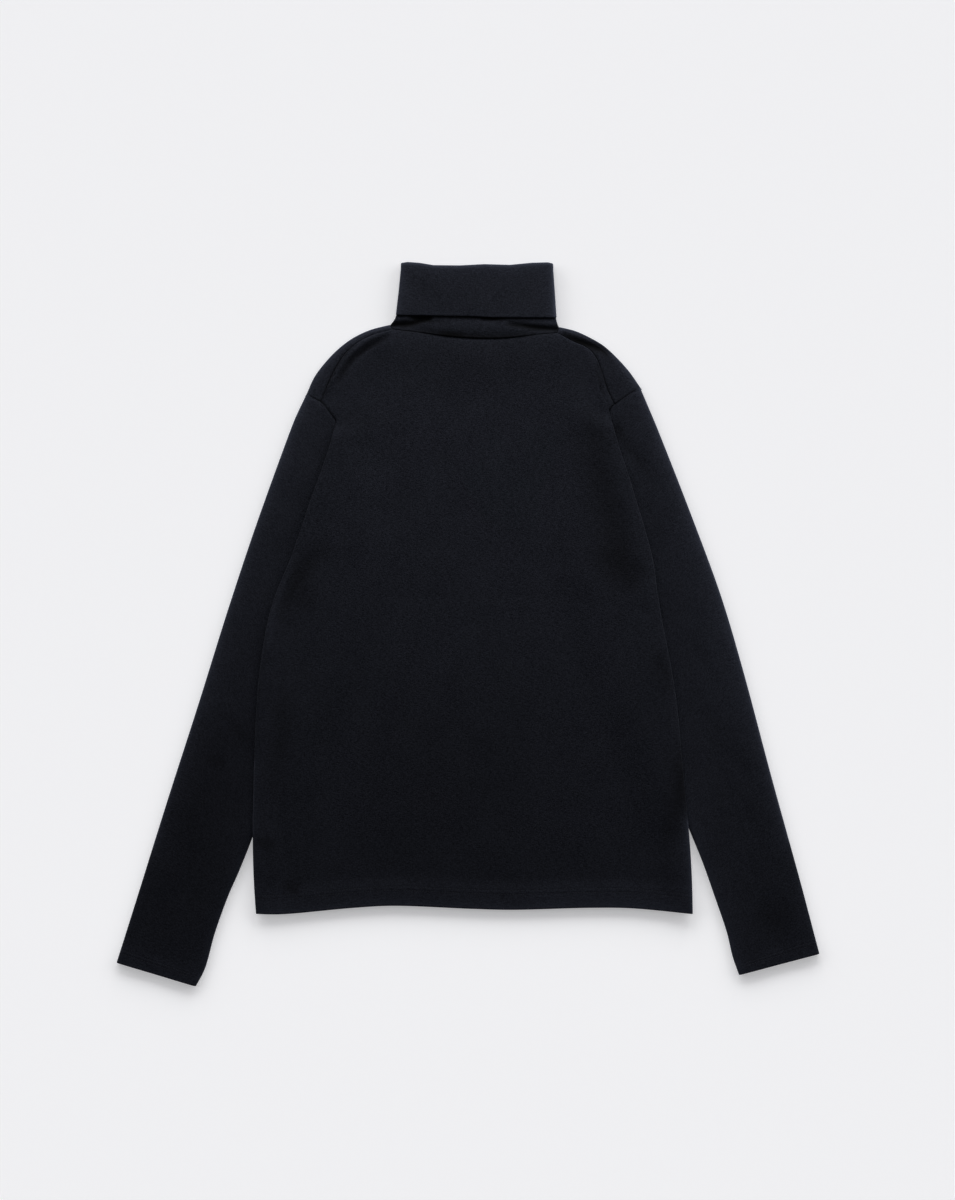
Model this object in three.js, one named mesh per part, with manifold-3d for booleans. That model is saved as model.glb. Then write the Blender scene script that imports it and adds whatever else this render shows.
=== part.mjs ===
// A long-sleeved turtleneck sweater of fine jersey, laid flat on its back with the sleeves drawn down
// beside the body and tucked a little under it, and the collar turned down.
// Millimetres. +X is to the right, +Y towards the collar, +Z up. The garment lies on the plane z = 0.
// Each cut piece of cloth is one closed wall: front, back, two sleeves and the collar.
import * as THREE from "three";
import Module from "manifold-3d";

const wasm = await Module();
wasm.setup();

// Cloth
const CLOTH = 1.2;
const HEM_CLOTH = 2.2;
const CUFF_CLOTH = 2.0;
const SEAM_GAP = 0.3;

// Heights of the laid garment over what it lies on
const AIR = 1.0;
const RIM_LOFT = 1.6;
const RIM_REACH = 14;
const EDGE_RADIUS = 3.0;
const HEM_LOFT = 0.4;
const NECK_LOFT = 0.9;
const NECK_REACH = 26;
const SLEEVE_CLEARANCE = 0.6;
const DRAPE_START = 5;
const DRAPE_REACH = 55;
const CLIMB_SPREAD = 0.6;
const FLAT_HEIGHT = 2 * CLOTH + AIR;
const LIFT = FLAT_HEIGHT + SLEEVE_CLEARANCE;

// Turned hem and turned cuffs: distances in from the edge of the rows that shape them
const HEM_ROWS = [0, 10, 19, 22];
const CUFF_ROWS = [0, 7, 13, 15.5];

// How many steps each stretch of an outline is divided into
const SIDE_STEPS = 15;
const SEAM_STEPS = 7;
const NECK_STEPS = 12;
const SLEEVE_STEPS = 19;
// Last stretch of the side fold below the armhole seam, where the body climbs onto the sleeve
const CLIMB_ROWS = [30, 22, 14, 7, 0];

// Side folds of the body, from the hem up
const SIDE_FOLDS = [
  { y: -319, left: -233.3, right: 247.3 },
  { y: -280, left: -235.7, right: 246.3 },
  { y: -236, left: -236.7, right: 243.6 },
  { y: -172, left: -235.5, right: 237.5 },
  { y: -84, left: -232, right: 229 },
  { y: -40, left: -227.5, right: 222 },
  { y: 4, left: -220, right: 213.5 },
  { y: 37, left: -210, right: 208 },
  { y: 65, left: -198, right: 204.5 },
  { y: 98, left: -186, right: 196.5 },
  { y: 131, left: -175, right: 186.5 },
  { y: 164, left: -163, right: 176.5 },
  { y: 197, left: -152, right: 165.5 },
];

// Armhole seam as it shows, from the top of the side fold to the tip of the shoulder
const ARMHOLES = [
  { leftX: -145, leftY: 224.5, rightX: 155, rightY: 235.5 },
  { leftX: -152.5, leftY: 234, rightX: 157.5, rightY: 239 },
  { leftX: -161.5, leftY: 244.5, rightX: 160.5, rightY: 242 },
  { leftX: -169.5, leftY: 249, rightX: 174.5, rightY: 251.5 },
  { leftX: -177.5, leftY: 253.5, rightX: 189, rightY: 261.3 },
];

// The fold that is the shoulder's outline, and the shoulder seam inside it, from the tip to the neck
const LEFT_SHOULDER = [
  { foldX: -177.5, foldY: 253.5, seamX: -161.5, seamY: 244.5 },
  { foldX: -169, foldY: 272, seamX: -152, seamY: 268 },
  { foldX: -157, foldY: 288, seamX: -144.5, seamY: 283 },
  { foldX: -143, foldY: 302.5, seamX: -135, seamY: 297.5 },
  { foldX: -127, foldY: 314.5, seamX: -122, seamY: 309 },
  { foldX: -108, foldY: 323.5, seamX: -105.5, seamY: 317.5 },
  { foldX: -86, foldY: 329.3, seamX: -83.5, seamY: 324 },
];
const RIGHT_SHOULDER = [
  { foldX: 189, foldY: 261.3, seamX: 160.5, seamY: 242 },
  { foldX: 177.8, foldY: 277.4, seamX: 152, seamY: 261 },
  { foldX: 164.3, foldY: 292.5, seamX: 147, seamY: 277.5 },
  { foldX: 149.6, foldY: 306, seamX: 141, seamY: 292.5 },
  { foldX: 135.5, foldY: 314.5, seamX: 132, seamY: 303 },
  { foldX: 118, foldY: 322.5, seamX: 115, seamY: 311 },
  { foldX: 100.8, foldY: 326.8, seamX: 98.5, seamY: 320 },
];

const HEM = [
  { x: -233.3, y: -319 },
  { x: -205, y: -319.3 },
  { x: -127, y: -312.4 },
  { x: -83, y: -310 },
  { x: 5, y: -313.3 },
  { x: 48, y: -314.3 },
  { x: 136, y: -312 },
  { x: 180, y: -312.5 },
  { x: 247.3, y: -318.6 },
];

// Neck seam between the two shoulder seams, on the front and on the back
const FRONT_NECK = [
  { x: -52.5, y: 320.5 },
  { x: -12, y: 315.8 },
  { x: 35, y: 314.6 },
  { x: 79, y: 318.6 },
];
const BACK_NECK = [
  { x: -52, y: 324.5 },
  { x: 7, y: 322.5 },
  { x: 64, y: 324 },
];

// Sleeves: the outer edge from the shoulder tip to the cuff, the hidden end of the sleeve under the
// body down to the underarm, and the underarm edge from there to the cuff
const SLEEVES = {
  left: {
    outer: [
      { x: -177.5, y: 253.5 },
      { x: -189.6, y: 228 },
      { x: -195, y: 214.5 },
      { x: -233.2, y: 109 },
      { x: -264, y: 16.5 },
      { x: -297, y: -89 },
      { x: -331, y: -194.7 },
      { x: -364, y: -300.3 },
      { x: -386.8, y: -372.8 },
    ],
    hidden: [
      { x: -143, y: 168 },
      { x: -130, y: 140 },
      { x: -125, y: 95 },
    ],
    inner: [
      { x: -128, y: 43 },
      { x: -148.5, y: -6.5 },
      { x: -181.5, y: -83.5 },
      { x: -211, y: -160.5 },
      { x: -237.4, y: -235.5 },
      { x: -252.8, y: -274 },
      { x: -264.2, y: -300 },
      { x: -278.5, y: -340 },
      { x: -289.6, y: -379.5 },
      { x: -299.5, y: -398.7 },
    ],
  },
  right: {
    outer: [
      { x: 189, y: 261.3 },
      { x: 203.2, y: 228 },
      { x: 208.8, y: 214.5 },
      { x: 245, y: 122 },
      { x: 278.8, y: 30 },
      { x: 302.4, y: -49.5 },
      { x: 334, y: -168 },
      { x: 366.8, y: -287 },
      { x: 386.8, y: -363 },
    ],
    hidden: [
      { x: 155.5, y: 171 },
      { x: 142, y: 145 },
      { x: 136, y: 100 },
    ],
    inner: [
      { x: 138.5, y: 54 },
      { x: 158.5, y: -1 },
      { x: 189, y: -83.5 },
      { x: 217, y: -155 },
      { x: 241, y: -220 },
      { x: 257.5, y: -260.5 },
      { x: 271.5, y: -300 },
      { x: 285, y: -340 },
      { x: 291.2, y: -366 },
      { x: 298.2, y: -386.2 },
    ],
  },
};

// Collar: top fold and free edge of the turned-down part, across the garment
const COLLAR_TOP = [
  { x: -74, y: 397 },
  { x: -66, y: 398.2 },
  { x: -53, y: 397.2 },
  { x: -38, y: 394.7 },
  { x: -9, y: 394.4 },
  { x: 18, y: 395.8 },
  { x: 46, y: 395 },
  { x: 70, y: 397.3 },
  { x: 88, y: 397.8 },
  { x: 93, y: 396.4 },
];
const COLLAR_EDGE = [
  { x: -80, y: 341.3 },
  { x: 7, y: 339.8 },
  { x: 27, y: 338.6 },
  { x: 96, y: 338.4 },
];
const COLLAR_FOLD_RADIUS = 0.95;

// Rings of the collar's wall, from the neck seam up the stand, over the fold and down to the free edge.
// rise is the share of the way from the seam to the top fold, left and right are the ends of the ring,
// front and back are the heights of the middle of the cloth there, and turn points the ends outward.
const STAND_RINGS = [
  { rise: 0, left: -90, right: 101, front: 2.8, back: 0.6, side: 0 },
  { rise: 0.08, left: -83, right: 98.6, front: 4.1, back: 1.1, side: 0.6 },
  { rise: 0.16, left: -80, right: 97.4, front: 4.7, back: 1.9, side: 1 },
  { rise: 0.27, left: -78.3, right: 96.2, front: 4.6, back: 2.5, side: 1 },
  { rise: 0.6, left: -75, right: 94, front: 4.6, back: 2.5, side: 1 },
  { rise: 0.93, left: -72.6, right: 92, front: 4.6, back: 2.5, side: 1 },
];
const TURNED_RINGS = [
  { drop: 0.1, left: -74, right: 93.9, front: 6.5, back: 0.6, side: 1 },
  { drop: 0.5, left: -76.2, right: 95.6, front: 6.5, back: 0.6, side: 1 },
  { drop: 1, left: -79.4, right: 97.4, front: 6.5, back: 0.6, side: 1 },
];

const plan = ({ x, y }) => new THREE.Vector3(x, y, 0);
const mix = THREE.MathUtils.lerp;
const ease = (value) => THREE.MathUtils.smoothstep(value, 0, 1);
const even = (steps) => Array.from({ length: steps + 1 }, (_, k) => k / steps);
const towards = (from, to, distance) =>
  from.clone().add(to.clone().sub(from).setLength(distance));

// Points along a smooth curve through the given points, at shares of its length
function along(points, shares) {
  const curve = new THREE.CatmullRomCurve3(points, false, "centripetal");
  curve.arcLengthDivisions = 400;
  return shares.map((share) => curve.getPointAt(share));
}

function lengthOf(points) {
  return new THREE.CatmullRomCurve3(points, false, "centripetal").getLength();
}

// The height that a table gives at a place across it, in straight steps
function readAcross(table, x) {
  const next = table.findIndex((row) => row.x >= x);
  if (next <= 0) return table[next === 0 ? 0 : table.length - 1].y;
  const a = table[next - 1];
  const b = table[next];
  return mix(a.y, b.y, (x - a.x) / (b.x - a.x));
}

// Shares of its own length at which each point of a run of points lies
function sharesOf(points) {
  const runs = [0];
  for (let k = 1; k < points.length; k += 1)
    runs.push(runs[k - 1] + points[k].distanceTo(points[k - 1]));
  return runs.map((run) => run / runs[runs.length - 1]);
}

// A grid of plan points filled in between four runs of boundary points
function patch(bottom, top, left, right) {
  const shares = [bottom, top, left, right].map(sharesOf);
  return left.map((_, j) =>
    bottom.map((_, i) => {
      const v0 = mix(shares[2][j], shares[3][j], i / (bottom.length - 1));
      const u = mix(shares[0][i], shares[1][i], v0);
      const v = mix(shares[2][j], shares[3][j], u);
      const corners = [
        [bottom[0], (1 - u) * (1 - v)],
        [bottom[bottom.length - 1], u * (1 - v)],
        [top[0], (1 - u) * v],
        [top[top.length - 1], u * v],
      ];
      const point = new THREE.Vector3()
        .addScaledVector(bottom[i], 1 - v)
        .addScaledVector(top[i], v)
        .addScaledVector(left[j], 1 - u)
        .addScaledVector(right[j], u);
      corners.forEach(([corner, weight]) => point.addScaledVector(corner, -weight));
      return point;
    }),
  );
}

function distanceToRun(point, run) {
  const nearest = new THREE.Vector3();
  const flat = new THREE.Vector3(point.x, point.y, 0);
  let best = Infinity;
  for (let k = 1; k < run.length; k += 1) {
    new THREE.Line3(run[k - 1], run[k]).closestPointToPoint(flat, true, nearest);
    best = Math.min(best, nearest.distanceTo(flat));
  }
  return best;
}

// Outlines shared by the pieces that meet along them
function bodySide(side) {
  const armhole = ARMHOLES.map((row) => plan({ x: row[`${side}X`], y: row[`${side}Y`] }));
  const foldPoints = [
    ...SIDE_FOLDS.map((row) => plan({ x: row[side], y: row.y })),
    armhole[0],
  ];
  const length = lengthOf(foldPoints);
  const start = HEM_ROWS[HEM_ROWS.length - 1];
  const end = length - CLIMB_ROWS[0];
  const middle = even(SIDE_STEPS).slice(1, -1);
  const stations = [
    ...HEM_ROWS,
    ...middle.map((share) => mix(start, end, share)),
    ...CLIMB_ROWS.map((below) => length - below),
  ];
  const fold = along(foldPoints, stations.map((station) => Math.min(station / length, 1)));
  const shoulder = side === "left" ? LEFT_SHOULDER : RIGHT_SHOULDER;
  const shares = even(SEAM_STEPS);
  return {
    fold,
    armhole,
    shoulderFold: along(shoulder.map((row) => plan({ x: row.foldX, y: row.foldY })), shares),
    shoulderSeam: along(shoulder.map((row) => plan({ x: row.seamX, y: row.seamY })), shares),
  };
}

const SIDES = { left: bodySide("left"), right: bodySide("right") };
const FOLD_RUNS = Object.values(SIDES).flatMap((side) => [
  side.fold.slice(0, -1),
  side.shoulderFold,
]);
const LAST = SEAM_STEPS;

function neckRun(table, leftEnd, rightEnd) {
  return along([leftEnd, ...table.map(plan), rightEnd], even(NECK_STEPS));
}

const frontNeck = neckRun(
  FRONT_NECK,
  SIDES.left.shoulderSeam[LAST],
  SIDES.right.shoulderSeam[LAST],
);

// Where the back's flat part ends, just inside the shoulder fold
const rollStart = (side) =>
  side.shoulderFold.map((fold, k) => towards(fold, side.shoulderSeam[k], EDGE_RADIUS));
const ROLL_STARTS = { left: rollStart(SIDES.left), right: rollStart(SIDES.right) };
const backNeck = neckRun(BACK_NECK, ROLL_STARTS.left[LAST], ROLL_STARTS.right[LAST]);

// How far the body is raised by the sleeve under it, at a place in the plan
function sleeveEdgeAt(side, y) {
  const { hidden, inner } = SLEEVES[side];
  const climbEnd = SIDES[side].fold.at(-CLIMB_ROWS.length);
  const run = [...SIDES[side].fold.slice(1 - CLIMB_ROWS.length).reverse(), climbEnd, ...hidden, ...inner];
  const next = run.findIndex((row) => row.y <= y);
  if (next <= 0) return run[next === 0 ? 0 : run.length - 1].x;
  const a = run[next - 1];
  const b = run[next];
  return mix(a.x, b.x, (y - a.y) / (b.y - a.y));
}

function liftAt({ x, y }) {
  const lifts = Object.entries(SIDES).map(([side, { fold }]) => {
    const sign = side === "left" ? 1 : -1;
    const inside = Math.max(sign * (x - sleeveEdgeAt(side, y)) - DRAPE_START, 0);
    const top = fold.at(-1).y + CLIMB_SPREAD * inside;
    const climbed = fold.at(1 - CLIMB_ROWS.length).y;
    const climb = ease((top - y) / (top - climbed));
    return LIFT * climb * (1 - ease(inside / DRAPE_REACH));
  });
  return Math.max(...lifts);
}

const rimAt = (point, runs) =>
  Math.exp(-((Math.min(...runs.map((run) => distanceToRun(point, run))) / RIM_REACH) ** 2));

// Height of the front's outer face over the back's outer face
function bodyHeight(point) {
  const rim = RIM_LOFT * rimAt(point, FOLD_RUNS);
  const hemShare = 1 - ease((point.y - hemAt(point.x) - HEM_ROWS[2]) / (HEM_ROWS[1] * 2));
  const hemHeight = 2 * HEM_CLOTH + AIR + HEM_LOFT * rim;
  const neckDistance = distanceToRun(point, frontNeck) / NECK_REACH;
  const neck = NECK_LOFT * neckDistance * Math.exp(1 - neckDistance ** 2);
  return mix(FLAT_HEIGHT + rim + neck, hemHeight, hemShare);
}

const hemAt = (x) => readAcross(HEM, x);

const hemCloth = (row) => (row < HEM_ROWS.length - 1 ? HEM_CLOTH : CLOTH);

// The wall between two faces of one cloth. grid holds rows of points; up and down are how far the
// faces lie from each point along its normal; square gives directions that a normal is held clear of,
// so that a cut edge is true to its seam.
function wall({ grid, up, down, ring = false, square = () => [] }) {
  const rows = grid.length;
  const across = grid[0].length;
  const cells = ring ? across : across - 1;
  const at = (i, j) => j * across + (i % across);
  const sheet = [];
  for (let j = 0; j < rows - 1; j += 1)
    for (let i = 0; i < cells; i += 1)
      sheet.push(
        at(i, j), at(i + 1, j), at(i + 1, j + 1),
        at(i, j), at(i + 1, j + 1), at(i, j + 1),
      );
  const surface = new THREE.BufferGeometry().setFromPoints(grid.flat()).setIndex(sheet);
  surface.computeVertexNormals();
  const normals = surface.getAttribute("normal");
  const faces = [[], []];
  grid.forEach((row, j) =>
    row.forEach((point, i) => {
      const normal = new THREE.Vector3().fromBufferAttribute(normals, at(i, j));
      square(i, j).forEach((clear) => normal.addScaledVector(clear, -normal.dot(clear)));
      normal.normalize();
      faces[0].push(point.clone().addScaledVector(normal, up(i, j)));
      faces[1].push(point.clone().addScaledVector(normal, -down(i, j)));
    }),
  );
  const total = rows * across;
  const triangles = [...sheet];
  for (let k = 0; k < sheet.length; k += 3)
    triangles.push(total + sheet[k], total + sheet[k + 2], total + sheet[k + 1]);
  const rim = (a, b) => triangles.push(b, a, total + a, b, total + a, total + b);
  for (let i = 0; i < cells; i += 1) {
    rim(at(i, 0), at(i + 1, 0));
    rim(at(i + 1, rows - 1), at(i, rows - 1));
  }
  if (!ring)
    for (let j = 0; j < rows - 1; j += 1) {
      rim(at(0, j + 1), at(0, j));
      rim(at(across - 1, j), at(across - 1, j + 1));
    }
  return new THREE.BufferGeometry()
    .setFromPoints([...faces[0], ...faces[1]])
    .setIndex(triangles);
}

const UPWARD = new THREE.Vector3(0, 0, 1);

// Angles of the quarter turn from a piece's outermost line to its flat part
const EDGE_TURNS = [0, 30, 60, 90].map(THREE.MathUtils.degToRad);

// A body panel's grid in the plan, with its first and last columns spread over the edge's quarter turn.
// Each entry keeps the plan point and the turn: 0 at the outline, 90 degrees where the panel is flat.
function panelColumns(row) {
  const flat = Math.PI / 2;
  const edge = (from, to) =>
    EDGE_TURNS.map((turn) => ({
      place: towards(from, to, Math.max(EDGE_RADIUS * (1 - Math.cos(turn)), 1e-6)),
      turn,
      inward: to.clone().sub(from).normalize(),
    }));
  const inner = row.slice(1, -1).map((place) => ({ place, turn: flat, inward: null }));
  return [
    ...edge(row[0], row[1]),
    ...inner,
    ...edge(row.at(-1), row.at(-2)).reverse(),
  ];
}

// How far the panel's edge is rolled at each row: fully beside the side seam, not at all at the armhole
function rollShare(j) {
  const corner = SIDES.left.fold.length - 1;
  const climb = CLIMB_ROWS.length - 2;
  return THREE.MathUtils.clamp((corner - j) / climb, 0, 1);
}

function bodyPanel(grid, isFront) {
  const rows = grid.map(panelColumns);
  const direction = isFront ? 1 : -1;
  const points = rows.map((row, j) =>
    row.map(({ place, turn }) => {
      const base = liftAt(place);
      const height = bodyHeight(place);
      const middle = base + height / 2;
      const flat = isFront ? base + height : base;
      const half = height / 2 - SEAM_GAP / 2;
      const rolled = middle + direction * (SEAM_GAP / 2 + half * Math.sin(turn));
      return new THREE.Vector3(place.x, place.y, mix(flat, rolled, rollShare(j)));
    }),
  );
  const end = rows[0].length - 1;
  const square = (i, j) => {
    const held = [];
    const inward = rows[j][i].inward;
    if (i === 0 || i === end) {
      const share = rollShare(j);
      held.push(
        inward.clone().multiplyScalar(1 - share).addScaledVector(UPWARD, share).normalize(),
      );
    }
    if (j === 0 || j === rows.length - 1) {
      const beside = points[j === 0 ? 1 : j - 1][i].clone().sub(points[j][i]).setZ(0);
      held.push(beside.normalize());
    }
    return held;
  };
  const cloth = (i, j) => hemCloth(j);
  if (isFront) return wall({ grid: points, up: () => 0, down: cloth, square });
  const mirrored = points.map((row) => [...row].reverse());
  return wall({
    grid: mirrored,
    up: () => 0,
    down: cloth,
    square: (i, j) => square(end - i, j),
  });
}

function frontPiece() {
  const { left, right } = SIDES;
  const bottom = along(HEM.map(plan), sharesAcross());
  const top = [
    ...left.shoulderSeam,
    ...frontNeck.slice(1, -1),
    ...[...right.shoulderSeam].reverse(),
  ];
  const edge = (side) => [...side.fold, side.armhole[1], side.armhole[2]];
  return bodyPanel(patch(withEnds(bottom), top, edge(left), edge(right)), true);
}

// Column places along the hem that suit the shoulders and the neck above them
function sharesAcross() {
  const shoulder = 0.28;
  return [
    ...even(SEAM_STEPS).map((share) => share * shoulder),
    ...even(NECK_STEPS).slice(1, -1).map((share) => mix(shoulder, 1 - shoulder, share)),
    ...even(SEAM_STEPS).map((share) => mix(1 - shoulder, 1, share)),
  ];
}

// The hem's run of points, tied to the feet of the side folds
function withEnds(run) {
  return [SIDES.left.fold[0], ...run.slice(1, -1), SIDES.right.fold[0]];
}

function backFlat() {
  const { left, right } = SIDES;
  const bottom = along(HEM.map(plan), sharesAcross());
  const top = [
    ...ROLL_STARTS.left,
    ...backNeck.slice(1, -1),
    ...[...ROLL_STARTS.right].reverse(),
  ];
  const edge = (side, starts) => [...side.fold, ...side.armhole.slice(1, -1), starts[0]];
  const rows = patch(
    withEnds(bottom),
    top,
    edge(left, ROLL_STARTS.left),
    edge(right, ROLL_STARTS.right),
  );
  return bodyPanel(rows, false);
}

// The strip of the back that rolls over the shoulder and comes down the front to the shoulder seam.
// It starts inside the back's own wall, so that the two become one piece.
function backStrip(side, isLeft) {
  const inside = 9;
  const overlap = 0.6;
  const skin = 0.15;
  const turns = [-45, 0, 45, 90].map(THREE.MathUtils.degToRad);
  const columns = side.shoulderFold.map((fold, k) => {
    const seam = side.shoulderSeam[k];
    const height = bodyHeight(fold);
    const inner = towards(fold, seam, inside).setZ(skin);
    const start = towards(fold, seam, EDGE_RADIUS + overlap).setZ(skin);
    const roll = turns.map((turn) =>
      towards(fold, seam, Math.max(EDGE_RADIUS * (1 - Math.cos(turn)), 1e-6)).setZ(
        (height / 2) * (1 + Math.sin(turn)),
      ),
    );
    const end = towards(seam, fold, SEAM_GAP);
    end.setZ(bodyHeight(end));
    return [inner, start, ...roll, end];
  });
  const grid = columns[0].map((_, r) => columns.map((column) => column[r]));
  const ordered = isLeft ? grid : grid.map((row) => [...row].reverse());
  const last = grid.length - 1;
  const ends = grid[0].length - 1;
  const square = (i, j) => {
    const held = [];
    const row = ordered[j];
    if (i === 0) held.push(row[1].clone().sub(row[0]).setZ(0).normalize());
    if (i === ends) held.push(row[ends - 1].clone().sub(row[ends]).setZ(0).normalize());
    if (j === last)
      held.push(ordered[j - 1][i].clone().sub(ordered[j][i]).setZ(0).normalize());
    return held;
  };
  const cloth = (i, j) => (j < 2 ? CLOTH - 2 * skin : CLOTH);
  const flipped = ordered.map((row) => [...row].reverse());
  return wall({
    grid: flipped,
    up: () => 0,
    down: cloth,
    square: (i, j) => square(ends - i, j),
  });
}

function solidOf(geometry) {
  const made = new wasm.Manifold(
    new wasm.Mesh({
      numProp: 3,
      vertProperties: new Float32Array(geometry.getAttribute("position").array),
      triVerts: new Uint32Array(geometry.getIndex().array),
    }),
  );
  if (made.volume() < 0) throw new Error("a wall faces inwards");
  return made;
}

function geometryOf(solid) {
  const { vertProperties, triVerts } = solid.getMesh();
  return new THREE.BufferGeometry()
    .setAttribute("position", new THREE.BufferAttribute(vertProperties, 3))
    .setIndex(new THREE.BufferAttribute(triVerts, 1));
}

function backPiece() {
  const joined = solidOf(backFlat())
    .add(solidOf(backStrip(SIDES.left, true)))
    .add(solidOf(backStrip(SIDES.right, false)));
  return geometryOf(joined);
}

// A flattened tube. Each row of flat points across it becomes a ring: over the top from the first
// point to the last, round that edge, back under, and round the first edge.
function ringOf(row, heightOf) {
  const first = towards(row[0], row[1], EDGE_RADIUS);
  const last = towards(row.at(-1), row.at(-2), EDGE_RADIUS);
  const flats = [first, ...row.slice(1, -1), last];
  const over = flats.map((place) => place.clone().setZ(heightOf(place)));
  const under = flats.map((place) => place.clone().setZ(0)).reverse();
  const turns = [45, 0, -45].map(THREE.MathUtils.degToRad);
  const round = (edge, beside, order) => {
    const height = heightOf(edge);
    return order.map((turn) =>
      towards(edge, beside, Math.max(EDGE_RADIUS * (1 - Math.cos(turn)), 1e-6)).setZ(
        (height / 2) * (1 + Math.sin(turn)),
      ),
    );
  };
  return [
    ...over,
    ...round(row.at(-1), row.at(-2), turns),
    ...under,
    ...round(row[0], row[1], [...turns].reverse()),
  ];
}

function sleevePiece(name, isLeft) {
  const side = SIDES[name];
  const { outer, hidden, inner } = SLEEVES[name];
  const headGap = SEAM_GAP * 1.5;
  const outward = isLeft ? headGap : -headGap;
  const climb = CLIMB_ROWS.length;
  const shown = [...side.armhole].reverse();
  const beside = side.fold.slice(-climb, -1).reverse();
  const seam = [...shown, ...beside];
  // The sleeve's end is the armhole seam's own run of points, moved out by the seam's gap
  const head = seam.map((point, k) => {
    const before = seam[Math.max(k - 1, 0)];
    const after = seam[Math.min(k + 1, seam.length - 1)];
    const run = after.clone().sub(before).normalize();
    return point.clone().addScaledVector(new THREE.Vector3(run.y, -run.x, 0), outward);
  });
  const top = [...head, ...hidden.map(plan), plan(inner[0])];
  const outerPoints = [top[0], ...outer.slice(1).map(plan)];
  const innerPoints = inner.map(plan);
  const stations = (length) => {
    const band = CUFF_ROWS.at(-1);
    return [
      ...even(SLEEVE_STEPS).map((share) => (share * (length - band)) / length),
      ...CUFF_ROWS.slice(0, -1).reverse().map((back) => (length - back) / length),
    ];
  };
  const outerRun = along(outerPoints, stations(lengthOf(outerPoints)));
  const innerRun = along(innerPoints, stations(lengthOf(innerPoints)));
  const cuff = top.map((_, k) =>
    outerRun.at(-1).clone().lerp(innerRun.at(-1), sharesOf(top)[k]),
  );
  const grid = patch(top, cuff, outerRun, innerRun);
  const rows = grid.length;
  const visibleInner = innerRun.filter((point) => point.y < SIDES[name].fold[5].y);
  const rings = grid.map((row, j) => {
    const cuffShare = ease((j - (rows - 6)) / 2);
    return ringOf(row, (place) => {
      const rim = RIM_LOFT * Math.max(rimAt(place, [outerRun]), rimAt(place, [visibleInner]));
      return mix(FLAT_HEIGHT + rim, 2 * CUFF_CLOTH + AIR + HEM_LOFT * rim, cuffShare);
    });
  });
  const square = (i, j) => {
    if (j !== 0 && j !== rows - 1) return [];
    const next = rings[j === 0 ? 1 : j - 1];
    return [next[i].clone().sub(rings[j][i]).setZ(0).normalize()];
  };
  const count = rings[0].length;
  const cloth = (i, j) => (j > rows - CUFF_ROWS.length ? CUFF_CLOTH : CLOTH);
  if (!isLeft) return wall({ grid: rings, up: () => 0, down: cloth, ring: true, square });
  return wall({
    grid: rings.map((ring) => [...ring].reverse()),
    up: () => 0,
    down: cloth,
    ring: true,
    square: (i, j) => square(count - 1 - i, j),
  });
}

// How far the collar's lower edge stands off the neck seam, in the middle and at its two ends
const NECK_SHIFT = new THREE.Vector3(0, 2 * SEAM_GAP, 0);
const NECK_END_SHIFTS = [new THREE.Vector3(0.5, 0.5, 0), new THREE.Vector3(-0.6, 0.4, 0)];
const shiftedOffSeam = (run) =>
  run.map((point, k) => {
    const end = [0, run.length - 1].indexOf(k);
    return point.clone().add(end < 0 ? NECK_SHIFT : NECK_END_SHIFTS[end]);
  });

// One ring of the collar: along the front from left to right, round the right end, back along the
// back, and round the left end.
function collarRing({ left, right, front, back, side }, frontRun, backRun) {
  const half = (front - back) / 2;
  const middle = (front + back) / 2;
  const reach = CLOTH / 2;
  const seamEnds = [SIDES.left, SIDES.right].map((s, k) =>
    towards(s.shoulderFold[LAST], s.shoulderSeam[LAST], reach).add(NECK_END_SHIFTS[k]),
  );
  const turns = [45, 0, -45].map(THREE.MathUtils.degToRad);
  const end = (index, order) => {
    const lengthwise = index === 0 ? left + reach : right - reach;
    const level = (frontRun.at(-index).y + backRun.at(-index).y) / 2;
    const outermost = new THREE.Vector3(lengthwise, level, 0);
    const point = seamEnds[index].clone().lerp(outermost, side);
    const root = frontRun.at(-index).clone().lerp(backRun.at(-index), 0.5);
    return order.map((turn) =>
      root.clone().lerp(point, Math.cos(turn)).setZ(middle + half * Math.sin(turn)),
    );
  };
  return [
    ...frontRun.map((place) => place.clone().setZ(side === 0 ? bodyHeight(place) - reach : front)),
    ...end(1, turns),
    ...[...backRun].reverse().map((place) => place.clone().setZ(back)),
    ...end(0, [...turns].reverse()),
  ];
}

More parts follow.
